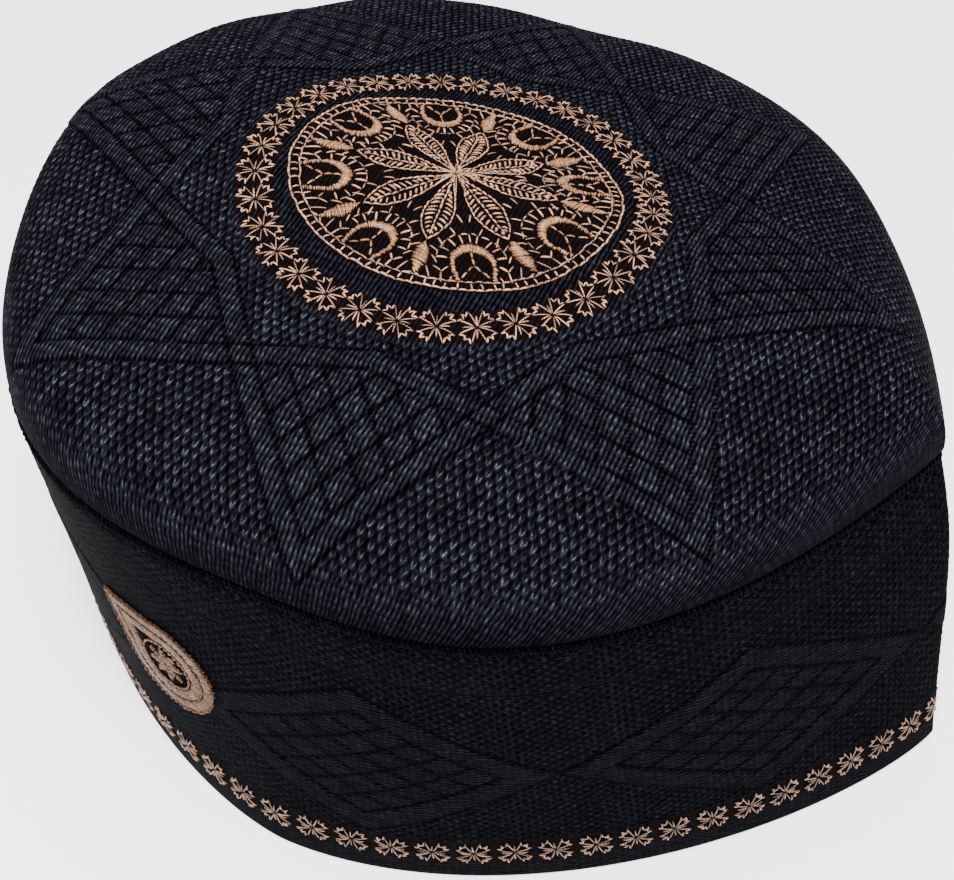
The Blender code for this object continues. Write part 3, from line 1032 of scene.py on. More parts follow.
@dataclass
class Crown:
    """The domed top panel, with an eight-pointed star of bars and lattice knitted into it."""

    cloth: CrownSurface
    finish: KnitFinish = KNIT
    rings: int = 144
    inside_rows: tuple[float, ...] = (1.0, 0.97, 0.92, 0.84, 0.7, 0.5, 0.25)
    flat_from: float = 0.96
    tip: float = 89.5
    crossing: float = 58.5
    inner_corner: float = 48.4
    star_points: int = 8
    star_turn: float = -37.5
    plain_disc: float = 43.2
    bar: float = 4.2
    bar_shoulder: float = 0.7
    bar_lift: float = 0.20
    kite_shoulder: float = 0.5
    kite_lift: float = 0.10
    openwork_shoulder: float = 0.6
    openwork_sink: float = 0.12
    mesh_cell: Pair = (1.84, 3.7)
    mesh_lift: float = 0.14
    lattice: float = 5.6
    net_width: float = 0.95
    edge_width: float = 0.9
    groove_sink: float = 0.26
    close_from: float = 0.84
    close_to: float = 0.93
    closed: float = 0.85
    # How much darker the ribs get near the seam: painted shade, where the rows are also drawn in
    seam_shade_and_drawn_in: float = 0.66
    collar_drawn_in: float = 0.52
    collar: Pair = (41.0, 46.0)
    medallion_shade: Pair = (30.0, 32.5)
    ring_radius: float = 39.0
    ring_half: float = 4.4
    ring_shoulder: float = 1.2
    ring_shade: float = 0.9
    flat_size: tuple[float, float] = (0.216, 0.206)
    flat_area: float = 0.0344

    def relief(self, x: Array, y: Array, share: Array) -> Relief:
        """What the knit does on the crown.

        Args:
            x: Flat measure towards the front.
            y: Flat measure towards +Y.
            share: Part of the way out to the seam.

        Returns:
            Lift and marks for each point.
        """
        # Distances from the star's outer edge, near and far, and from its inner one
        distance = np.hypot(x, y)
        sector = math.pi / self.star_points
        off = to_nearest(np.arctan2(y, x) - math.radians(self.star_turn), 2 * sector)
        u, v = distance * np.cos(off), distance * np.abs(np.sin(off))
        corner_u, corner_v = self.crossing * math.cos(sector), self.crossing * math.sin(sector)
        lean = math.atan2(corner_v, self.tip - corner_u)
        outer = (u - self.tip) * math.sin(lean) + v * math.cos(lean)
        far = (u - self.tip) * math.sin(lean) - v * math.cos(lean)
        slope = math.atan2(corner_u - self.inner_corner, corner_v)
        inner = (u - self.inner_corner) * math.cos(slope) - v * math.sin(slope)

        # Bars along both edges, a lattice in the kites between them, and openwork elsewhere
        half = self.bar / 2
        in_star = outer < half
        past_disc = smooth_step(0, 1.0, distance - self.plain_disc)
        inner_bar = ridge(inner, half, self.bar_shoulder) * in_star
        bars = np.maximum(ridge(outer, half, self.bar_shoulder), inner_bar)
        to_kite, to_openwork = half + self.kite_shoulder, half + self.openwork_shoulder
        kite = smooth_step(half, to_kite, -outer) * smooth_step(half, to_kite, inner)
        within = smooth_step(half, to_openwork, -inner) * past_disc * in_star
        openwork = np.maximum(smooth_step(half, to_openwork, outer), within) * past_disc
        openwork = openwork * (1 - self.closed * smooth_step(self.close_from, self.close_to, share))
        inner_edge = line_mark(np.abs(inner) - half, self.edge_width) * in_star
        edges = np.maximum(line_mark(np.abs(outer) - half, self.edge_width), inner_edge)
        lines = (line_mark(to_nearest(-side - half, self.lattice), self.net_width) for side in (outer, far))
        groove = np.maximum(edges, np.maximum(*lines) * kite) * (distance > self.plain_disc)

        lift = self.bar_lift * bars + self.kite_lift * kite - self.openwork_sink * openwork
        lift = lift + self.mesh_lift * knots(x, y, self.mesh_cell) * openwork - self.groove_sink * groove
        # Darker ribs along the drawn-in lines, with painted shade near the seam where the crown turns down,
        # and inside the collar
        seam_shade_and_drawn_in = np.maximum(groove, self.seam_shade_and_drawn_in * smooth_step(self.close_from, 1.0, share))
        seam_shade_and_drawn_in = np.maximum(seam_shade_and_drawn_in, self.collar_drawn_in * (1 - smooth_step(*self.collar, distance)))
        return Relief(lift, openwork, seam_shade_and_drawn_in, self.thread_shade(x, y))

    def thread_shade(self, x: Array, y: Array) -> Array:
        """Where painted brown shade darkens the cloth under the embroidery: under the medallion and under the
        ring of stars.

        Args:
            x: Flat measure towards the front.
            y: Flat measure towards +Y.

        Returns:
            Shares from 0 to 1.
        """
        across, along = PLAN.scale
        medallion = 1 - smooth_step(*self.medallion_shade, np.hypot(x / across, y / along))
        ring = ridge(np.hypot(x, y) - self.ring_radius, self.ring_half, self.ring_shoulder)
        return np.maximum(medallion, self.ring_shade * ring)

    def squared_disc(self) -> tuple[Array, Array]:
        """A disc of nested square rings, whose faces are all about the same size.

        Returns:
            The angle and the share of the way out, for each point of a square table.
        """
        place = np.arange(-self.rings, self.rings + 1)
        a, b = np.meshgrid(place, place, indexing="ij")
        ring = np.maximum(np.abs(a), np.abs(b))
        wide = np.abs(a) >= np.abs(b)
        safe = np.maximum(ring, 1)
        angle = np.where(wide, math.pi / 4 * b / safe, math.pi / 2 - math.pi / 4 * a / safe)
        angle = np.where(wide & (a < 0), math.pi - math.pi / 4 * b / safe, angle)
        angle = np.where(~wide & (b < 0), math.pi * 1.5 + math.pi / 4 * a / safe, angle)
        return angle, ring / self.rings

    def build(self) -> Piece:
        """Makes the crown.

        Returns:
            The piece, a closed shell of cloth.
        """
        angle, share = self.squared_disc()
        number = np.arange(angle.size).reshape(angle.shape)
        angle, share = angle.ravel(), share.ravel()
        around = angle / TURN
        reach = self.cloth.reach_at(around)
        flat = polar(share * reach, angle)
        relief = self.relief(flat[:, 0], flat[:, 1], share)
        held = 1 - smooth_step(self.flat_from, 1.0, share)
        points, facing = self.cloth.read(around, share)
        points = points + facing * (relief.lift * held)[:, None]
        top = four_corners(number[:-1, :-1], number[1:, :-1], number[1:, 1:], number[:-1, 1:])

        # The inner face: loops from the rim back to the middle, one thickness below the outer face
        rim = np.concatenate([number[-1, self.rings:-1], number[:0:-1, -1], number[0, :0:-1],
                              number[:-1, 0], number[-1, :self.rings]])
        loops = []
        for row in self.inside_rows:
            inner, facing = self.cloth.read(around[rim], np.full(len(rim), row))
            loops.append(inner - facing * FORM.cloth)
        inside = np.concatenate(loops + [self.cloth.points[:1, 0] - np.array([0, 0, FORM.cloth])])
        inside_number = number.size + np.arange(len(loops) * len(rim)).reshape(len(loops), len(rim))
        rows = np.vstack([rim[None], inside_number])
        after = np.roll(rows, -1, axis=1)
        wall = four_corners(rows[:-1], rows[1:], after[1:], after[:-1])
        middle = np.full(len(rim), number.size + len(inside) - 1)
        cap = np.stack([rows[-1], middle, after[-1]], axis=-1)
        piece = new_piece("kufi_crown", np.vstack([points, inside]), [top, wall, cap], self.finish.material())
        inside_flat = [polar(row * reach[rim], angle[rim]) for row in self.inside_rows]
        every_flat = np.vstack([flat, *inside_flat, [[0, 0]]])
        keep_measure(piece, "knit_mm", np.column_stack([every_flat, np.zeros(len(every_flat))]))
        relief.keep_on(piece)
        attach(piece, Slot.KNIT, "crown")
        return piece


@dataclass
class SideBand:
    """The upright wall, with a row of lattice diamonds between dotted openwork."""

    cloth: BandSurface
    finish: KnitFinish = BAND_KNIT
    columns: int = 740
    rows: int = 104
    diamonds: int = 7
    diamond_start: float = 49.5
    diamond_height: float = 41.0
    diamond_half: float = 25.0
    cells: int = 7
    bar_edge: Pair = (0.1, 0.8)
    bar_lift: float = 0.14
    inside_edge: float = 0.5
    inside_lift: float = 0.07
    net_edge: float = 0.2
    openwork_edge: float = 0.6
    openwork_sink: float = 0.08
    mesh_round: int = 204
    mesh_height: float = 2.1
    mesh_lift: float = 0.14
    edge_width: float = 0.9
    net_width: float = 0.95
    groove_sink: float = 0.22
    top_strip: float = 70.0
    top_openwork: float = 0.85
    top_edge: float = 1.5
    hem_strip: float = 15.2
    strip_edge: float = 1.0
    welt_width: float = 1.2
    welt_sink: float = 0.16
    welt_drawn_in: float = 0.7
    # Where the painted brown shade under the hem stars lies
    stars_height: float = 10.7
    stars_half: float = 5.0
    stars_shoulder: float = 1.3
    flat_above: float = 0.965
    flat_below: Pair = (0.8, 3.0)
    hem_round: tuple[float, ...] = (60.0, 30.0, 0.0, -30.0, -60.0)
    hem_run: tuple[float, ...] = (0.9, 0.4, 0.0, -0.4, -0.9)
    inside_levels: tuple[float, ...] = (0.12, 0.4, 0.7, 0.93, 0.98, 1.0)
    inside_run: tuple[float, ...] = (-1.0, -10.0, -33.0, -58.0, -77.0, -81.0, -83.0)
    flat_size: tuple[float, float] = (0.592, 0.084)

    def relief(self, way: Array, height: Array) -> Relief:
        """What the knit does on the band.

        Args:
            way: Distance along the hem.
            height: Height over the floor.

        Returns:
            Lift and marks for each point.
        """
        # Diamonds, each with a bar along its edges and a lattice inside
        pitch = self.cloth.whole / self.diamonds
        across = to_nearest(way - self.diamond_start, pitch)
        up = height - self.diamond_height
        reach = pitch / 2 * self.diamond_half / math.hypot(pitch / 2, self.diamond_half)
        rising = (across / (pitch / 2) + up / self.diamond_half) * reach
        falling = (across / (pitch / 2) - up / self.diamond_half) * reach
        depth = reach - np.maximum(np.abs(rising), np.abs(falling))
        cell = 2 * reach / self.cells
        low, high = self.bar_edge
        bars = smooth_step(low, high, depth) * (1 - smooth_step(cell - high, cell - low, depth))
        inside = smooth_step(cell, cell + self.inside_edge, depth)
        lines = (line_mark(to_nearest(side + reach, cell), self.net_width) for side in (rising, falling))
        net = np.maximum(*lines) * smooth_step(cell - self.net_edge, cell, depth)
        edge = np.maximum(line_mark(depth, self.edge_width), line_mark(depth - cell, self.edge_width))

        # Openwork between the strips and along the top one
        between = smooth_step(self.hem_strip, self.hem_strip + self.strip_edge, height)
        between = between * (1 - smooth_step(self.top_strip - self.strip_edge, self.top_strip, height))
        top = self.top_openwork * smooth_step(self.top_strip, self.top_strip + self.top_edge, height)
        openwork = np.maximum(smooth_step(0, self.openwork_edge, -depth) * between, top)
        groove = np.maximum(net, edge * between)
        mesh = knots(way, height, (self.cloth.whole / self.mesh_round, self.mesh_height))
        welts = line_mark(height - self.top_strip, self.welt_width)
        lift = self.bar_lift * bars + self.inside_lift * inside - self.openwork_sink * openwork
        lift = lift + self.mesh_lift * mesh * openwork - self.groove_sink * groove - self.welt_sink * welts
        # Painted brown shade on the cloth under the row of hem stars
        shade = ridge(height - self.stars_height, self.stars_half, self.stars_shoulder)
        return Relief(lift, openwork, np.maximum(groove, self.welt_drawn_in * welts), shade)

    def build(self) -> Piece:
        """Makes the side band.

        Returns:
            The piece, a closed shell of cloth.
        """
        whole, half = self.cloth.whole, FORM.cloth / 2
        low = half / FORM.band_height
        way = np.linspace(0, whole, self.columns, endpoint=False)
        around = way / whole
        share = np.linspace(1, low, self.rows)
        grid_way, grid_share = np.meshgrid(way, share, indexing="ij")
        height = grid_share * FORM.band_height
        points, facing = self.cloth.read(grid_way / whole, grid_share)
        relief = self.relief(grid_way, height)
        held = (1 - smooth_step(self.flat_above, 1.0, grid_share)) * smooth_step(*self.flat_below, height)
        loops = list((points + facing * (relief.lift * held)[..., None]).transpose(1, 0, 2))

        # Round the hem, then up the inner face
        hem, hem_facing = self.cloth.read(around, np.full(self.columns, low))
        for angle in np.radians(self.hem_round):
            point = hem + hem_facing * (math.sin(angle) * half - half)
            point[:, 2] = half - math.cos(angle) * half
            loops.append(point)
        for level in (low, *self.inside_levels):
            point, direction = self.cloth.read(around, np.full(self.columns, level))
            loops.append(point - direction * FORM.cloth)
        number = np.arange(len(loops) * self.columns).reshape(len(loops), self.columns)
        after = np.roll(number, -1, axis=0)
        quads = four_corners(number, after, np.roll(after, -1, axis=1), np.roll(number, -1, axis=1))
        piece = new_piece("kufi_side_band", np.concatenate(loops), [quads], self.finish.material())

        run = np.concatenate([share * FORM.band_height, self.hem_run, self.inside_run])
        next_way = way + whole / self.columns
        corner_way = np.tile(np.stack([way, way, next_way, next_way], axis=-1), (len(loops), 1))
        flat = np.stack([corner_way, run[quads // self.columns], np.zeros(quads.shape)], axis=-1)
        keep_measure(piece, "knit_mm", flat.reshape(-1, 3), corners=True)
        relief.keep_on(piece)
        attach(piece, Slot.KNIT, "side_band")
        return piece


@dataclass
class CrownSeam:
    """The seam between crown and band: a dark cord in the groove, held by slanted stitches."""

    crown: CrownSurface
    band: BandSurface
    seed: int = 11
    inset: float = 0.35
    stations: int = 740
    stitches: int = 246
    slant: float = 0.9
    reach: float = 1.3
    crown_reach: float = 100.0
    cord: Strand = Strand(0.9, 0.0, 0.2)
    held_by: tuple[Strand, ...] = (Strand(0.36, 0.1, 0.5), Strand(0.36, 0.1, 0.3))

    def build(self) -> Piece:
        """Makes the seam.

        Returns:
            The piece.
        """
        whole = self.band.whole
        thread = Stitches(self.seed, self.band)
        below = np.full(self.stitches, 1 - self.reach / FORM.band_height)
        above = np.full(self.stitches, 1 - self.reach / self.crown_reach)
        for index, strand in enumerate(self.held_by):
            way = (np.arange(self.stitches) + index / len(self.held_by)) * whole / self.stitches
            low, low_facing = self.band.read(way / whole, below)
            high, high_facing = self.crown.read(self.crown_turn(way + self.slant), above)
            thread.sew(low, high, low_facing + high_facing, strand)
        line = self.cord_line(np.linspace(0, whole, self.stations, endpoint=False))
        thread.sew(line, np.roll(line, -1, axis=0), level_outward(line), self.cord)
        return attach(thread.piece("kufi_crown_seam", SEAM_THREAD.material()), Slot.SEAM, "crown_seam")

    def crown_turn(self, way: Array) -> Array:
        """Share of the way round the crown that lies over a distance along the hem."""
        top, _ = self.band.read(way / self.band.whole, np.ones(len(way)))
        return np.arctan2(top[:, 1], top[:, 0] - FORM.centre_x) / TURN

    def cord_line(self, way: Array) -> Array:
        """The cord's middle line, in the groove.

        Args:
            way: Distances along the hem.

        Returns:
            Points above them.
        """
        point, facing = self.band.read(way / self.band.whole, np.ones(len(way)))
        point = point + unit(facing * np.array([1, 1, 0])) * (FORM.groove_depth - self.inset)
        point[:, 2] += FORM.gap / 2
        return point


class Embroidery(ABC):
    """One embroidered piece: sews its stitches and stands for the solid of the same name."""

    cloth: BandSurface | CrownSurface
    motif: str
    seed: int

    @abstractmethod
    def sew(self, thread: Stitches) -> None:
        """Adds the piece's stitches to those so far."""

    def nodes(self) -> tuple[str, ...]:
        """The solids that the piece stands for."""
        return (self.motif,)

    def build(self, material: Material) -> Piece:
        """Makes the piece.

        Args:
            material: The thread's finish.

        Returns:
            The object.
        """
        thread = Stitches(self.seed, self.cloth)
        self.sew(thread)
        return attach(thread.piece("kufi_" + self.motif, material), Slot.COPPER, *self.nodes())


@dataclass
class MedallionBorder(Embroidery):
    """Two lines of back stitch joined by short bars like a ladder."""

    cloth: CrownSurface
    motif: str = "medallion_border"
    seed: int = 21
    outer: float = 31.2
    inner: float = 29.2
    counts: tuple[int, int] = (124, 112)
    strands: tuple[Strand, Strand] = (Strand(0.48, 0.2, 0.8), Strand(0.40, 0.2, 0.5))
    wander: float = 0.13
    overlap: float = 0.12
    bars: int = 92
    bar_inset: float = 0.25
    bar_wander: Pair = (0.008, 0.012)
    bar_strand: Strand = Strand(0.42, 0.16, 0.6)

    def sew(self, thread: Stitches) -> None:
        """Sews both lines and the bars between them.

        Args:
            thread: The stitches so far.
        """
        spot = Spot(scale=PLAN.scale)
        for radius, count, strand in zip((self.outer, self.inner), self.counts, self.strands):
            line = polar(radius + thread.within(self.wander, count), even_turns(count))
            thread.line(spot, line, strand, self.overlap, closed=True)
        angle = even_turns(self.bars) + thread.within(self.bar_wander[0], self.bars)
        first = polar(self.inner + self.bar_inset, angle)
        angle = angle + thread.within(self.bar_wander[1], self.bars)
        last = polar(self.outer - self.bar_inset, angle)
        thread.on(spot, first, last, self.bar_strand)


@dataclass
class MedallionFlower(Embroidery):
    """Eight pointed petals, each with an edge, a midrib and slanted stitches like herringbone."""

    cloth: CrownSurface
    motif: str = "medallion_flower"
    seed: int = 22
    start: float = 1.4
    reach: float = 19.3
    half_width: float = 2.75
    edge_steps: int = 14
    edge_strand: Strand = Strand(0.40, 0.22, 0.72)
    edge_overlap: float = 0.1
    rib_steps: int = 12
    rib_from: float = 0.3
    rib_to: float = 0.93
    rib_strand: Strand = Strand(0.42, 0.25, 0.72)
    slants: int = 12
    slant_roots: Pair = (0.22, 0.93)
    slant_wander: float = 0.008
    slant_off_rib: float = 0.20
    slant_last: float = 0.985
    slant: float = 0.05
    slant_gap: Pair = (0.25, 0.6)
    slant_room: float = 0.9
    slant_strand: Strand = Strand(0.52, 0.2, 0.62)
    heart_threads: int = 16
    heart: float = 0.2
    heart_reach: Pair = (3.0, 7.0)
    heart_strand: Strand = Strand(0.32, 0.35, 0.6)

    def width_at(self, share: Array) -> Array:
        """Half the width of a petal, widest beyond its middle."""
        return self.half_width * np.sin(math.pi * np.clip(share, 0, 1) ** 1.35) ** 0.85

    def along_at(self, share: Array) -> Array:
        """Distance along a petal."""
        return self.start + (self.reach - self.start) * share

    def sew(self, thread: Stitches) -> None:
        """Sews every petal, then the heart.

        Args:
            thread: The stitches so far.
        """
        share = np.linspace(0, 1, self.edge_steps + 1)
        rib = np.linspace(self.start * self.rib_from, self.reach * self.rib_to, self.rib_steps + 1)
        for index in range(PLAN.fold):
            spot = PLAN.spot(index)
            for side in (-1, 1):
                edge = np.stack([self.along_at(share), side * self.width_at(share)], axis=1)
                thread.line(spot, edge, self.edge_strand, self.edge_overlap)
            thread.line(spot, np.stack([rib, np.zeros(len(rib))], axis=1), self.rib_strand)
            for side in (-1, 1):
                root = np.linspace(*self.slant_roots, self.slants)
                root = root + thread.within(self.slant_wander, self.slants)
                tip = np.clip(root + self.slant, 0, self.slant_last)
                wide = self.width_at(tip)
                keep = wide > self.slant_room
                gap = thread.chance.uniform(*self.slant_gap, self.slants)
                inner = np.stack([self.along_at(root), side * self.slant_off_rib * wide], axis=1)
                outer = np.stack([self.along_at(tip), side * (wide - gap)], axis=1)
                thread.on(spot, inner[keep], outer[keep], self.slant_strand)
        angle = even_turns(self.heart_threads)
        reach = thread.chance.uniform(*self.heart_reach, self.heart_threads)
        thread.on(Spot(scale=PLAN.scale), polar(self.heart, angle), polar(reach, angle), self.heart_strand)


@dataclass
class MedallionLeaf(Embroidery):
    """A small leaf of close satin stitches with a saw-tooth edge."""

    cloth: CrownSurface
    index: int
    motif: str = "medallion_leaf"
    seed: int = 30
    start: float = 20.3
    end: float = 28.3
    satin: Pair = (0.02, 0.98)
    bow: float = 0.85
    tip_half: float = 0.12
    half_width: float = 1.35
    count: int = 25
    slant: float = 0.9
    ragged: Pair = (-0.16, 0.2)
    strand: Strand = Strand(0.42, 0.34, 0.62)

    def __post_init__(self) -> None:
        """Names the leaf after its place, and gives it chances of its own."""
        self.motif = f"{self.motif}_{self.index + 1}"
        self.seed += self.index

    def sew(self, thread: Stitches) -> None:
        """Sews the satin across the leaf, slanted towards its tip.

        Args:
            thread: The stitches so far.
        """
        share = np.linspace(*self.satin, self.count)
        half = self.tip_half + self.half_width * np.sin(math.pi * share**self.bow)
        along = self.start + (self.end - self.start) * share
        ragged = thread.chance.uniform(*self.ragged, (2, self.count))
        first = np.stack([along - self.slant / 2, -half - ragged[0]], axis=1)
        last = np.stack([along + self.slant / 2, half + ragged[1]], axis=1)
        thread.on(PLAN.spot(self.index), first, last, self.strand)


@dataclass
class MedallionHorseshoe(Embroidery):
    """A horseshoe of satin stitches, open outwards, with three dashes inside it."""

    cloth: CrownSurface
    index: int
    motif: str = "medallion_horseshoe"
    seed: int = 40
    middle: float = 24.0
    half_width: float = 4.1
    bow: float = 4.6
    legs: float = 4.6
    pull_in: float = 0.5
    thick: float = 2.0
    thin: float = 0.75
    bend_count: int = 46
    leg_count: int = 12
    ragged: Pair = (-0.12, 0.26)
    strand: Strand = Strand(0.44, 0.34, 0.66)
    hub: float = 0.7
    dash_ends: tuple[Pair, ...] = ((-2.6, 0.0), (4.0, 2.5), (4.0, -2.5))
    dash_shares: tuple[float, ...] = (0.06, 0.48, 0.56, 1.0)
    dash_strand: Strand = Strand(0.48, 0.14, 0.72)

    def __post_init__(self) -> None:
        """Names the horseshoe after its place, and gives it chances of its own."""
        self.motif = f"{self.motif}_{self.index + 1}"
        self.seed += self.index

    def spot(self) -> Spot:
        """Where it lies, halfway between two petals."""
        return PLAN.spot(self.index + 0.5, self.middle)

    def edges(self) -> tuple[Array, Array]:
        """The satin's two edges.

        Returns:
            Outer ends of the stitches about the horseshoe's own middle, and their inner ends.
        """
        bend = np.linspace(math.pi / 2, 1.5 * math.pi, self.bend_count)
        leg = np.linspace(self.legs, 0.3, self.leg_count)
        pull_in = self.pull_in * np.square(leg / self.legs)
        along = np.concatenate([leg, self.bow * np.cos(bend), leg[::-1]])
        side = np.concatenate([self.half_width - pull_in, self.half_width * np.sin(bend),
                               -self.half_width + pull_in[::-1]])
        inward = np.concatenate([np.zeros(self.leg_count), -np.cos(bend), np.zeros(self.leg_count)])
        lean = unit(np.stack([np.minimum(along, 0), side], axis=1))
        outer = np.stack([along, side], axis=1)
        return outer, outer - lean * (self.thin + (self.thick - self.thin) * inward)[:, None]

    def sew(self, thread: Stitches) -> None:
        """Sews the satin and the three dashes.

        Args:
            thread: The stitches so far.
        """
        outer, inner = self.edges()
        ragged = thread.chance.uniform(*self.ragged, (len(outer), 1))
        thread.on(self.spot(), outer + unit(outer - inner) * ragged, inner, self.strand)
        hub = np.array([self.hub, 0.0])
        for end in np.array(self.dash_ends):
            marks = hub + (end - hub) * np.array(self.dash_shares)[:, None]
            thread.on(self.spot(), marks[[0, 2]], marks[[1, 3]], self.dash_strand)


@dataclass
class MedallionNet(Embroidery):
    """Thin threads between the flower, the horseshoes, the leaves and the border.

    A thread of a branch runs from the first of two points to the second, on either side of its middle line.
    """

    cloth: CrownSurface
    motif: str = "medallion_net"
    seed: int = 23
    whisker_angles: tuple[float, ...] = (100, 122, 144, 166, 180, 194, 216, 238, 260)
    whisker_in: float = 0.5
    whisker_out: float = 2.4
    whisker_lengths: Pair = (0.75, 0.25)
    whisker_wander: float = 0.05
    whisker_strand: Strand = Strand(0.46, 0.12, 0.7)
    link_gap: float = 0.18
    link_strand: Strand = Strand(0.36, 0.08, 0.42)
    leg_branch: tuple[Pair, ...] = ((3.4, 4.3), (5.2, 5.0), (1.0, 4.6), (2.2, 6.0), (2.2, 6.0), (5.0, 6.3),
                                    (2.2, 6.0), (0.6, 7.2))
    leg_strand: Strand = Strand(0.42, 0.1, 0.6)
    petal_branch: tuple[Pair, ...] = ((28.5, 0.2), (29.1, 1.5), (26.0, 1.6), (28.9, 3.0), (23.0, 1.7),
                                      (24.6, 3.1), (20.6, 0.8), (21.8, 2.5), (18.2, 1.6), (20.2, 3.2),
                                      (15.0, 2.9), (16.4, 4.4), (11.0, 3.2), (12.8, 4.6))
    petal_strand: Strand = Strand(0.4, 0.1, 0.55)

    def nodes(self) -> tuple[str, ...]:
        """None: its threads are too thin for a solid."""
        return ()

    @staticmethod
    def branches(thread: Stitches, spot: Spot, branch: tuple[Pair, ...], strand: Strand) -> None:
        """Sews a branch on both sides of a middle line.

        Args:
            thread: The stitches so far.
            spot: Where the middle line lies.
            branch: Starts and ends of its threads.
            strand: The thread.
        """
        for side in (-1, 1):
            points = np.array(branch) * np.array([1, side])
            thread.on(spot, points[::2], points[1::2], strand)

    def sew(self, thread: Stitches) -> None:
        """Sews whiskers round each horseshoe, links between their tips, and the branches.

        Args:
            thread: The stitches so far.
        """
        least, more = self.whisker_lengths
        for index in range(PLAN.fold):
            shoe = MedallionHorseshoe(self.cloth, index)
            way = np.radians(np.array(self.whisker_angles))
            way = way + thread.within(self.whisker_wander, len(way))
            root = np.stack([(shoe.bow + self.whisker_in) * np.cos(way),
                             (shoe.half_width + self.whisker_in) * np.sin(way)], axis=1)
            tip = root + polar(self.whisker_out * (least + more * np.abs(np.cos(way))), way)
            thread.on(shoe.spot(), root, tip, self.whisker_strand)
            step = (tip[1:] - tip[:-1]) * self.link_gap
            thread.on(shoe.spot(), tip[:-1] + step, tip[1:] - step, self.link_strand)
            self.branches(thread, shoe.spot(), self.leg_branch, self.leg_strand)
            self.branches(thread, PLAN.spot(index), self.petal_branch, self.petal_strand)


@dataclass(frozen=True)
class Star:
    """One small star: four lobes with a notched cap and four short spokes."""

    across: float
    along: float
    cap_reach: tuple[float, ...] = (1.10, 0.84, 1.13, 0.84, 1.10)
    cap_turn: tuple[float, ...] = (23, 36, 45, 54, 67)
    cap_strand: Strand = Strand(0.40, 0.2, 0.8)
    lobe: Pair = (0.10, 0.97)
    lobe_strand: Strand = Strand(0.31, 0.2, 0.45)
    heart: float = 0.12
    spoke: Pair = (0.80, 0.72)
    spoke_strand: Strand = Strand(0.32, 0.2, 0.5)
    wander: float = 0.14

    def stitches(self) -> list[tuple[Array, Array, Strand]]:
        """Flat stitches about the star's middle.

        Returns:
            Starts, ends and thread of each group.
        """
        size = np.array([self.across, self.along])
        cap = polar(np.array(self.cap_reach), np.radians(self.cap_turn))
        groups = []
        for flip in ((1, 1), (-1, 1), (-1, -1), (1, -1)):
            mirror = np.array(flip) * size
            sides = cap[[0, -1]]
            groups.append((sides * self.lobe[0] * mirror, sides * self.lobe[1] * mirror, self.lobe_strand))
            groups.append((cap[:-1] * mirror, cap[1:] * mirror, self.cap_strand))
        ways = np.array([[1, 0], [-1, 0], [0, 1], [0, -1]])
        groups.append((ways * self.heart * size, ways * np.array(self.spoke) * size, self.spoke_strand))
        return groups

    def sew(self, thread: Stitches, spot: Spot) -> None:
        """Sews the star at a spot."""
        for first, last, strand in self.stitches():
            thread.on(spot, first, last + thread.within(self.wander, last.shape), strand)


@dataclass
class StarRing(Embroidery):
    """The ring of stars round the medallion."""

    cloth: CrownSurface
    motif: str = "star_ring"
    seed: int = 24
    radius: float = 39.0
    count: int = 34
    turn: float = 4.2
    star: Star = Star(3.35, 3.7)

    def sew(self, thread: Stitches) -> None:
        """Sews every star, its long way outwards.

        Args:
            thread: The stitches so far.
        """
        for index in range(self.count):
            angle = math.radians(self.turn) + TURN * index / self.count
            centre = (self.radius * math.cos(angle), self.radius * math.sin(angle))
            self.star.sew(thread, Spot(angle - math.pi / 2, centre))


@dataclass
class HemStarRow(Embroidery):
    """The row of stars above the hem."""

    cloth: BandSurface
    motif: str = "hem_star_row"
    seed: int = 25
    height: float = 10.7
    count: int = 69
    start: float = 0.72
    star: Star = Star(3.55, 3.9)

    def sew(self, thread: Stitches) -> None:
        """Sews every star upright.

        Args:
            thread: The stitches so far.
        """
        pitch = self.cloth.whole / self.count
        for index in range(self.count):
            self.star.sew(thread, Spot(0.0, (self.start + pitch * index, self.height)))


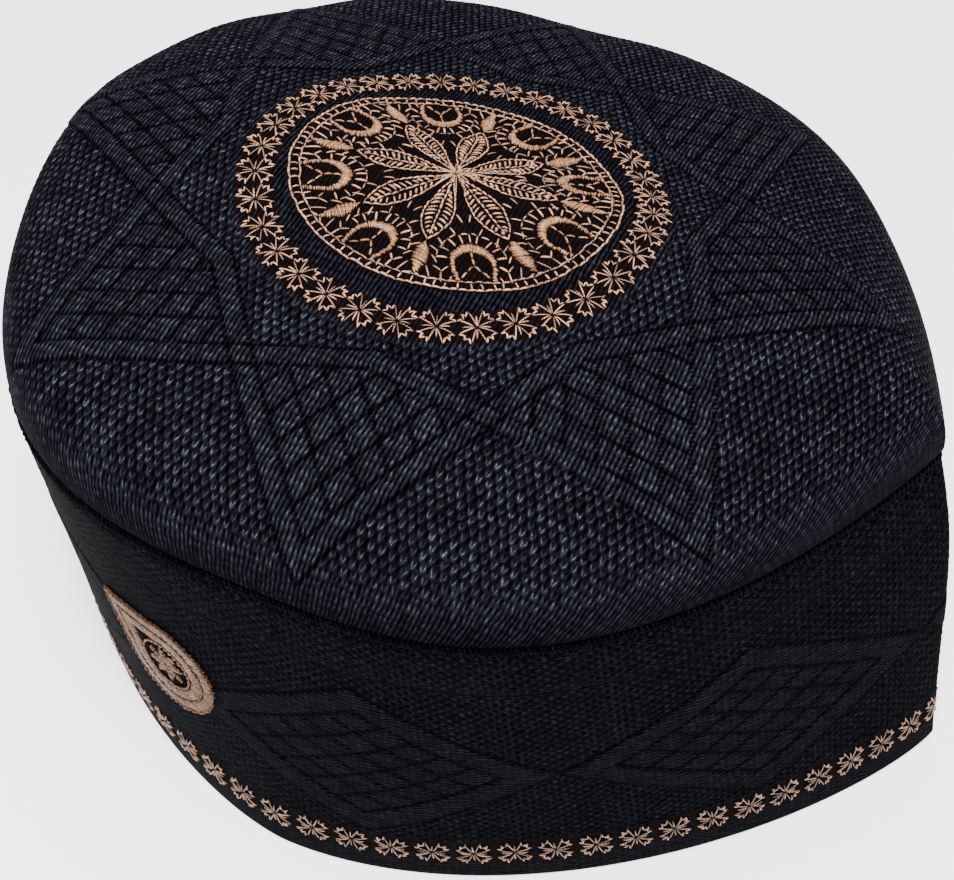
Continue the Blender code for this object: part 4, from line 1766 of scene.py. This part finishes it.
@dataclass
class SideBadge(Embroidery):
    """A drop-shaped badge: two bands of satin, their outlines, a ring and a small rosette.

    A band has its outer and its inner edge as shares of the drop, and its number of stitches. An outline has
    its share of the drop and its number of stitches.
    """

    cloth: BandSurface
    motif: str = "side_badge"
    seed: int = 26
    way: float = 181.0
    height: float = 43.6
    radius: float = 13.4
    tip: float = 21.3
    turn: float = 33.0
    bands: tuple[tuple[float, float, int], ...] = ((1.0, 0.76, 250), (0.77, 0.53, 190))
    band_slant: float = 0.02
    ragged: float = 0.02
    band_strand: Strand = Strand(0.5, 0.32, 0.7)
    outlines: tuple[tuple[float, int], ...] = ((0.985, 64), (0.76, 52))
    outline_strand: Strand = Strand(0.5, 0.5, 0.5)
    outline_overlap: float = 0.15
    ring: float = 0.5
    ring_count: int = 30
    ring_strand: Strand = Strand(0.55, 0.3, 0.85)
    ring_overlap: float = 0.1
    rosette: float = 5.0
    petals: int = 8
    petal_stitches: int = 9
    petal_run: Pair = (0.12, 0.96)
    petal_half: Pair = (0.2, 0.95)
    petal_slant: float = 0.3
    petal_strand: Strand = Strand(0.44, 0.24, 0.62)

    def edge(self, angle: Array) -> Array:
        """Distance from the badge's middle to its edge.

        Args:
            angle: Angles from the way to its tip.

        Returns:
            A distance for each.
        """
        away = np.abs(np.arctan2(np.sin(angle), np.cos(angle)))
        flank = math.acos(self.radius / self.tip)
        return self.radius / np.cos(np.clip(flank - away, 0, None))

    def even_ways(self, count: int) -> Array:
        """Angles about the badge's middle, evenly spaced along its edge.

        Args:
            count: How many.

        Returns:
            The angles.
        """
        fine = np.linspace(0, TURN, 721)
        run = length_along(polar(self.edge(fine), fine))
        return np.interp(np.linspace(0, run[-1], count, endpoint=False), run, fine)

    def sew(self, thread: Stitches) -> None:
        """Sews the badge from its edge inwards.

        Args:
            thread: The stitches so far.
        """
        spot = Spot(math.radians(self.turn), (self.way, self.height))
        for outer, inner, count in self.bands:
            angle = self.even_ways(count)
            ragged = thread.within(self.ragged, (2, count))
            first = polar(self.edge(angle) * (outer + ragged[0]), angle)
            last = polar(self.edge(angle) * (inner + ragged[1]), angle + self.band_slant)
            thread.on(spot, first, last, self.band_strand)
        for scale, count in self.outlines:
            angle = self.even_ways(count)
            line = polar(self.edge(angle) * scale, angle)
            thread.line(spot, line, self.outline_strand, self.outline_overlap, closed=True)
        ring = polar(self.radius * self.ring, even_turns(self.ring_count))
        thread.line(spot, ring, self.ring_strand, self.ring_overlap, closed=True)
        share = np.linspace(*self.petal_run, self.petal_stitches)
        half = self.petal_half[0] + self.petal_half[1] * np.sin(math.pi * share)
        along = self.rosette * share
        for index in range(self.petals):
            petal = Spot(TURN * index / self.petals)
            first = petal.put(np.stack([along, -half], axis=1))
            last = petal.put(np.stack([along + self.petal_slant, half], axis=1))
            thread.on(spot, first, last, self.petal_strand)


@dataclass(frozen=True)
class Lamp:
    """A square soft light that faces the cap: its place and its side in metres, its power in watts."""

    name: str
    place: tuple[float, float, float]
    side: float
    power: float
    aim: tuple[float, float, float] = (0.0, 0.0, 0.06)

    def build(self) -> None:
        """Makes the light."""
        data = bpy.data.lights.new(self.name, "AREA")
        data.shape, data.size, data.energy = "SQUARE", self.side, self.power
        lamp = place_object(self.name, data)
        lamp.location = self.place
        lamp.rotation_euler = (Vector(self.aim) - Vector(self.place)).to_track_quat("-Z", "Y").to_euler()


@dataclass
class Studio:
    """A pale floor, soft lights and the camera at the photograph's angle."""

    floor_half: float = 3.0
    lamps: tuple[Lamp, ...] = (
        Lamp("key_light", (0.15, -0.50, 1.18), 0.5, 60.0),
        Lamp("top_light", (-0.30, 0.20, 1.35), 0.9, 10.0),
        Lamp("fill_light", (-1.0, -0.7, 0.8), 0.8, 4.0),
    )
    sky_light: float = 0.85
    turn: float = 22.57
    elevation: float = 44.97
    roll: float = 3.37
    distance: float = 360.06
    lens: float = 61.29
    sensor: float = 36.0
    aim_height: float = 55.0
    aim_right: float = 0.65
    aim_up: float = -10.72

    def build(self) -> None:
        """Makes the floor, the lights and the camera."""
        self.floor()
        for lamp in self.lamps:
            lamp.build()
        self.world()
        self.camera()

    def floor(self) -> None:
        """A large flat floor under the hem."""
        half = self.floor_half
        mesh = bpy.data.meshes.new("studio_floor")
        corners = [(-half, -half, 0), (half, -half, 0), (half, half, 0), (-half, half, 0)]
        mesh.from_pydata(corners, [], [(0, 1, 2, 3)])
        mesh.materials.append(FloorFinish().material())
        floor = place_object("studio_floor", mesh)

    def world(self) -> None:
        """An even white sky."""
        world = bpy.data.worlds.new("studio")
        world.use_nodes = True
        sky = world.node_tree.nodes["Background"]
        sky.inputs["Color"].default_value = (1, 1, 1, 1)
        sky.inputs["Strength"].default_value = self.sky_light
        bpy.context.scene.world = world

    def camera(self) -> None:
        """The camera, placed from the turn, elevation and roll that fit the photograph."""
        turn, rise, roll = (math.radians(value) for value in (self.turn, self.elevation, self.roll))
        back = Vector((math.sin(turn) * math.cos(rise), -math.cos(turn) * math.cos(rise), math.sin(rise)))
        right = Vector((math.cos(turn), math.sin(turn), 0))
        up = back.cross(right)
        leaned_right = right * math.cos(roll) + up * math.sin(roll)
        leaned_up = up * math.cos(roll) - right * math.sin(roll)
        aim = Vector((-FORM.middle, 0, self.aim_height))
        aim = aim + leaned_right * self.aim_right + leaned_up * self.aim_up
        data = bpy.data.cameras.new("photo_camera")
        data.lens, data.sensor_width, data.sensor_fit = self.lens, self.sensor, "HORIZONTAL"
        data.clip_start, data.clip_end = 0.01, 20
        camera = place_object("photo_camera", data)
        axes = Matrix((leaned_right, leaned_up, back)).transposed()
        camera.matrix_world = Matrix.Translation((aim + back * self.distance) * MM) @ axes.to_4x4()
        bpy.context.scene.camera = camera


def main() -> None:
    """Builds the cloth, the embroidery and the studio, in that order."""
    logging.basicConfig(level=logging.INFO, format="%(name)s: %(message)s")
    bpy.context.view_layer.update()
    crown, band = CrownSurface(FORM), BandSurface(FORM)
    Crown(crown).build()
    SideBand(band).build()
    CrownSeam(crown, band).build()
    copper, satin = COPPER.material(), SATIN.material()
    for part in (MedallionBorder(crown), MedallionFlower(crown), MedallionNet(crown)):
        part.build(copper)
    for index in range(PLAN.fold):
        MedallionLeaf(crown, index).build(satin)
        MedallionHorseshoe(crown, index).build(satin)
    StarRing(crown).build(copper)
    HemStarRow(band).build(HEM_COPPER.material())
    SideBadge(band).build(BADGE_SATIN.material())
    Studio().build()


if __name__ == "__main__":
    main()
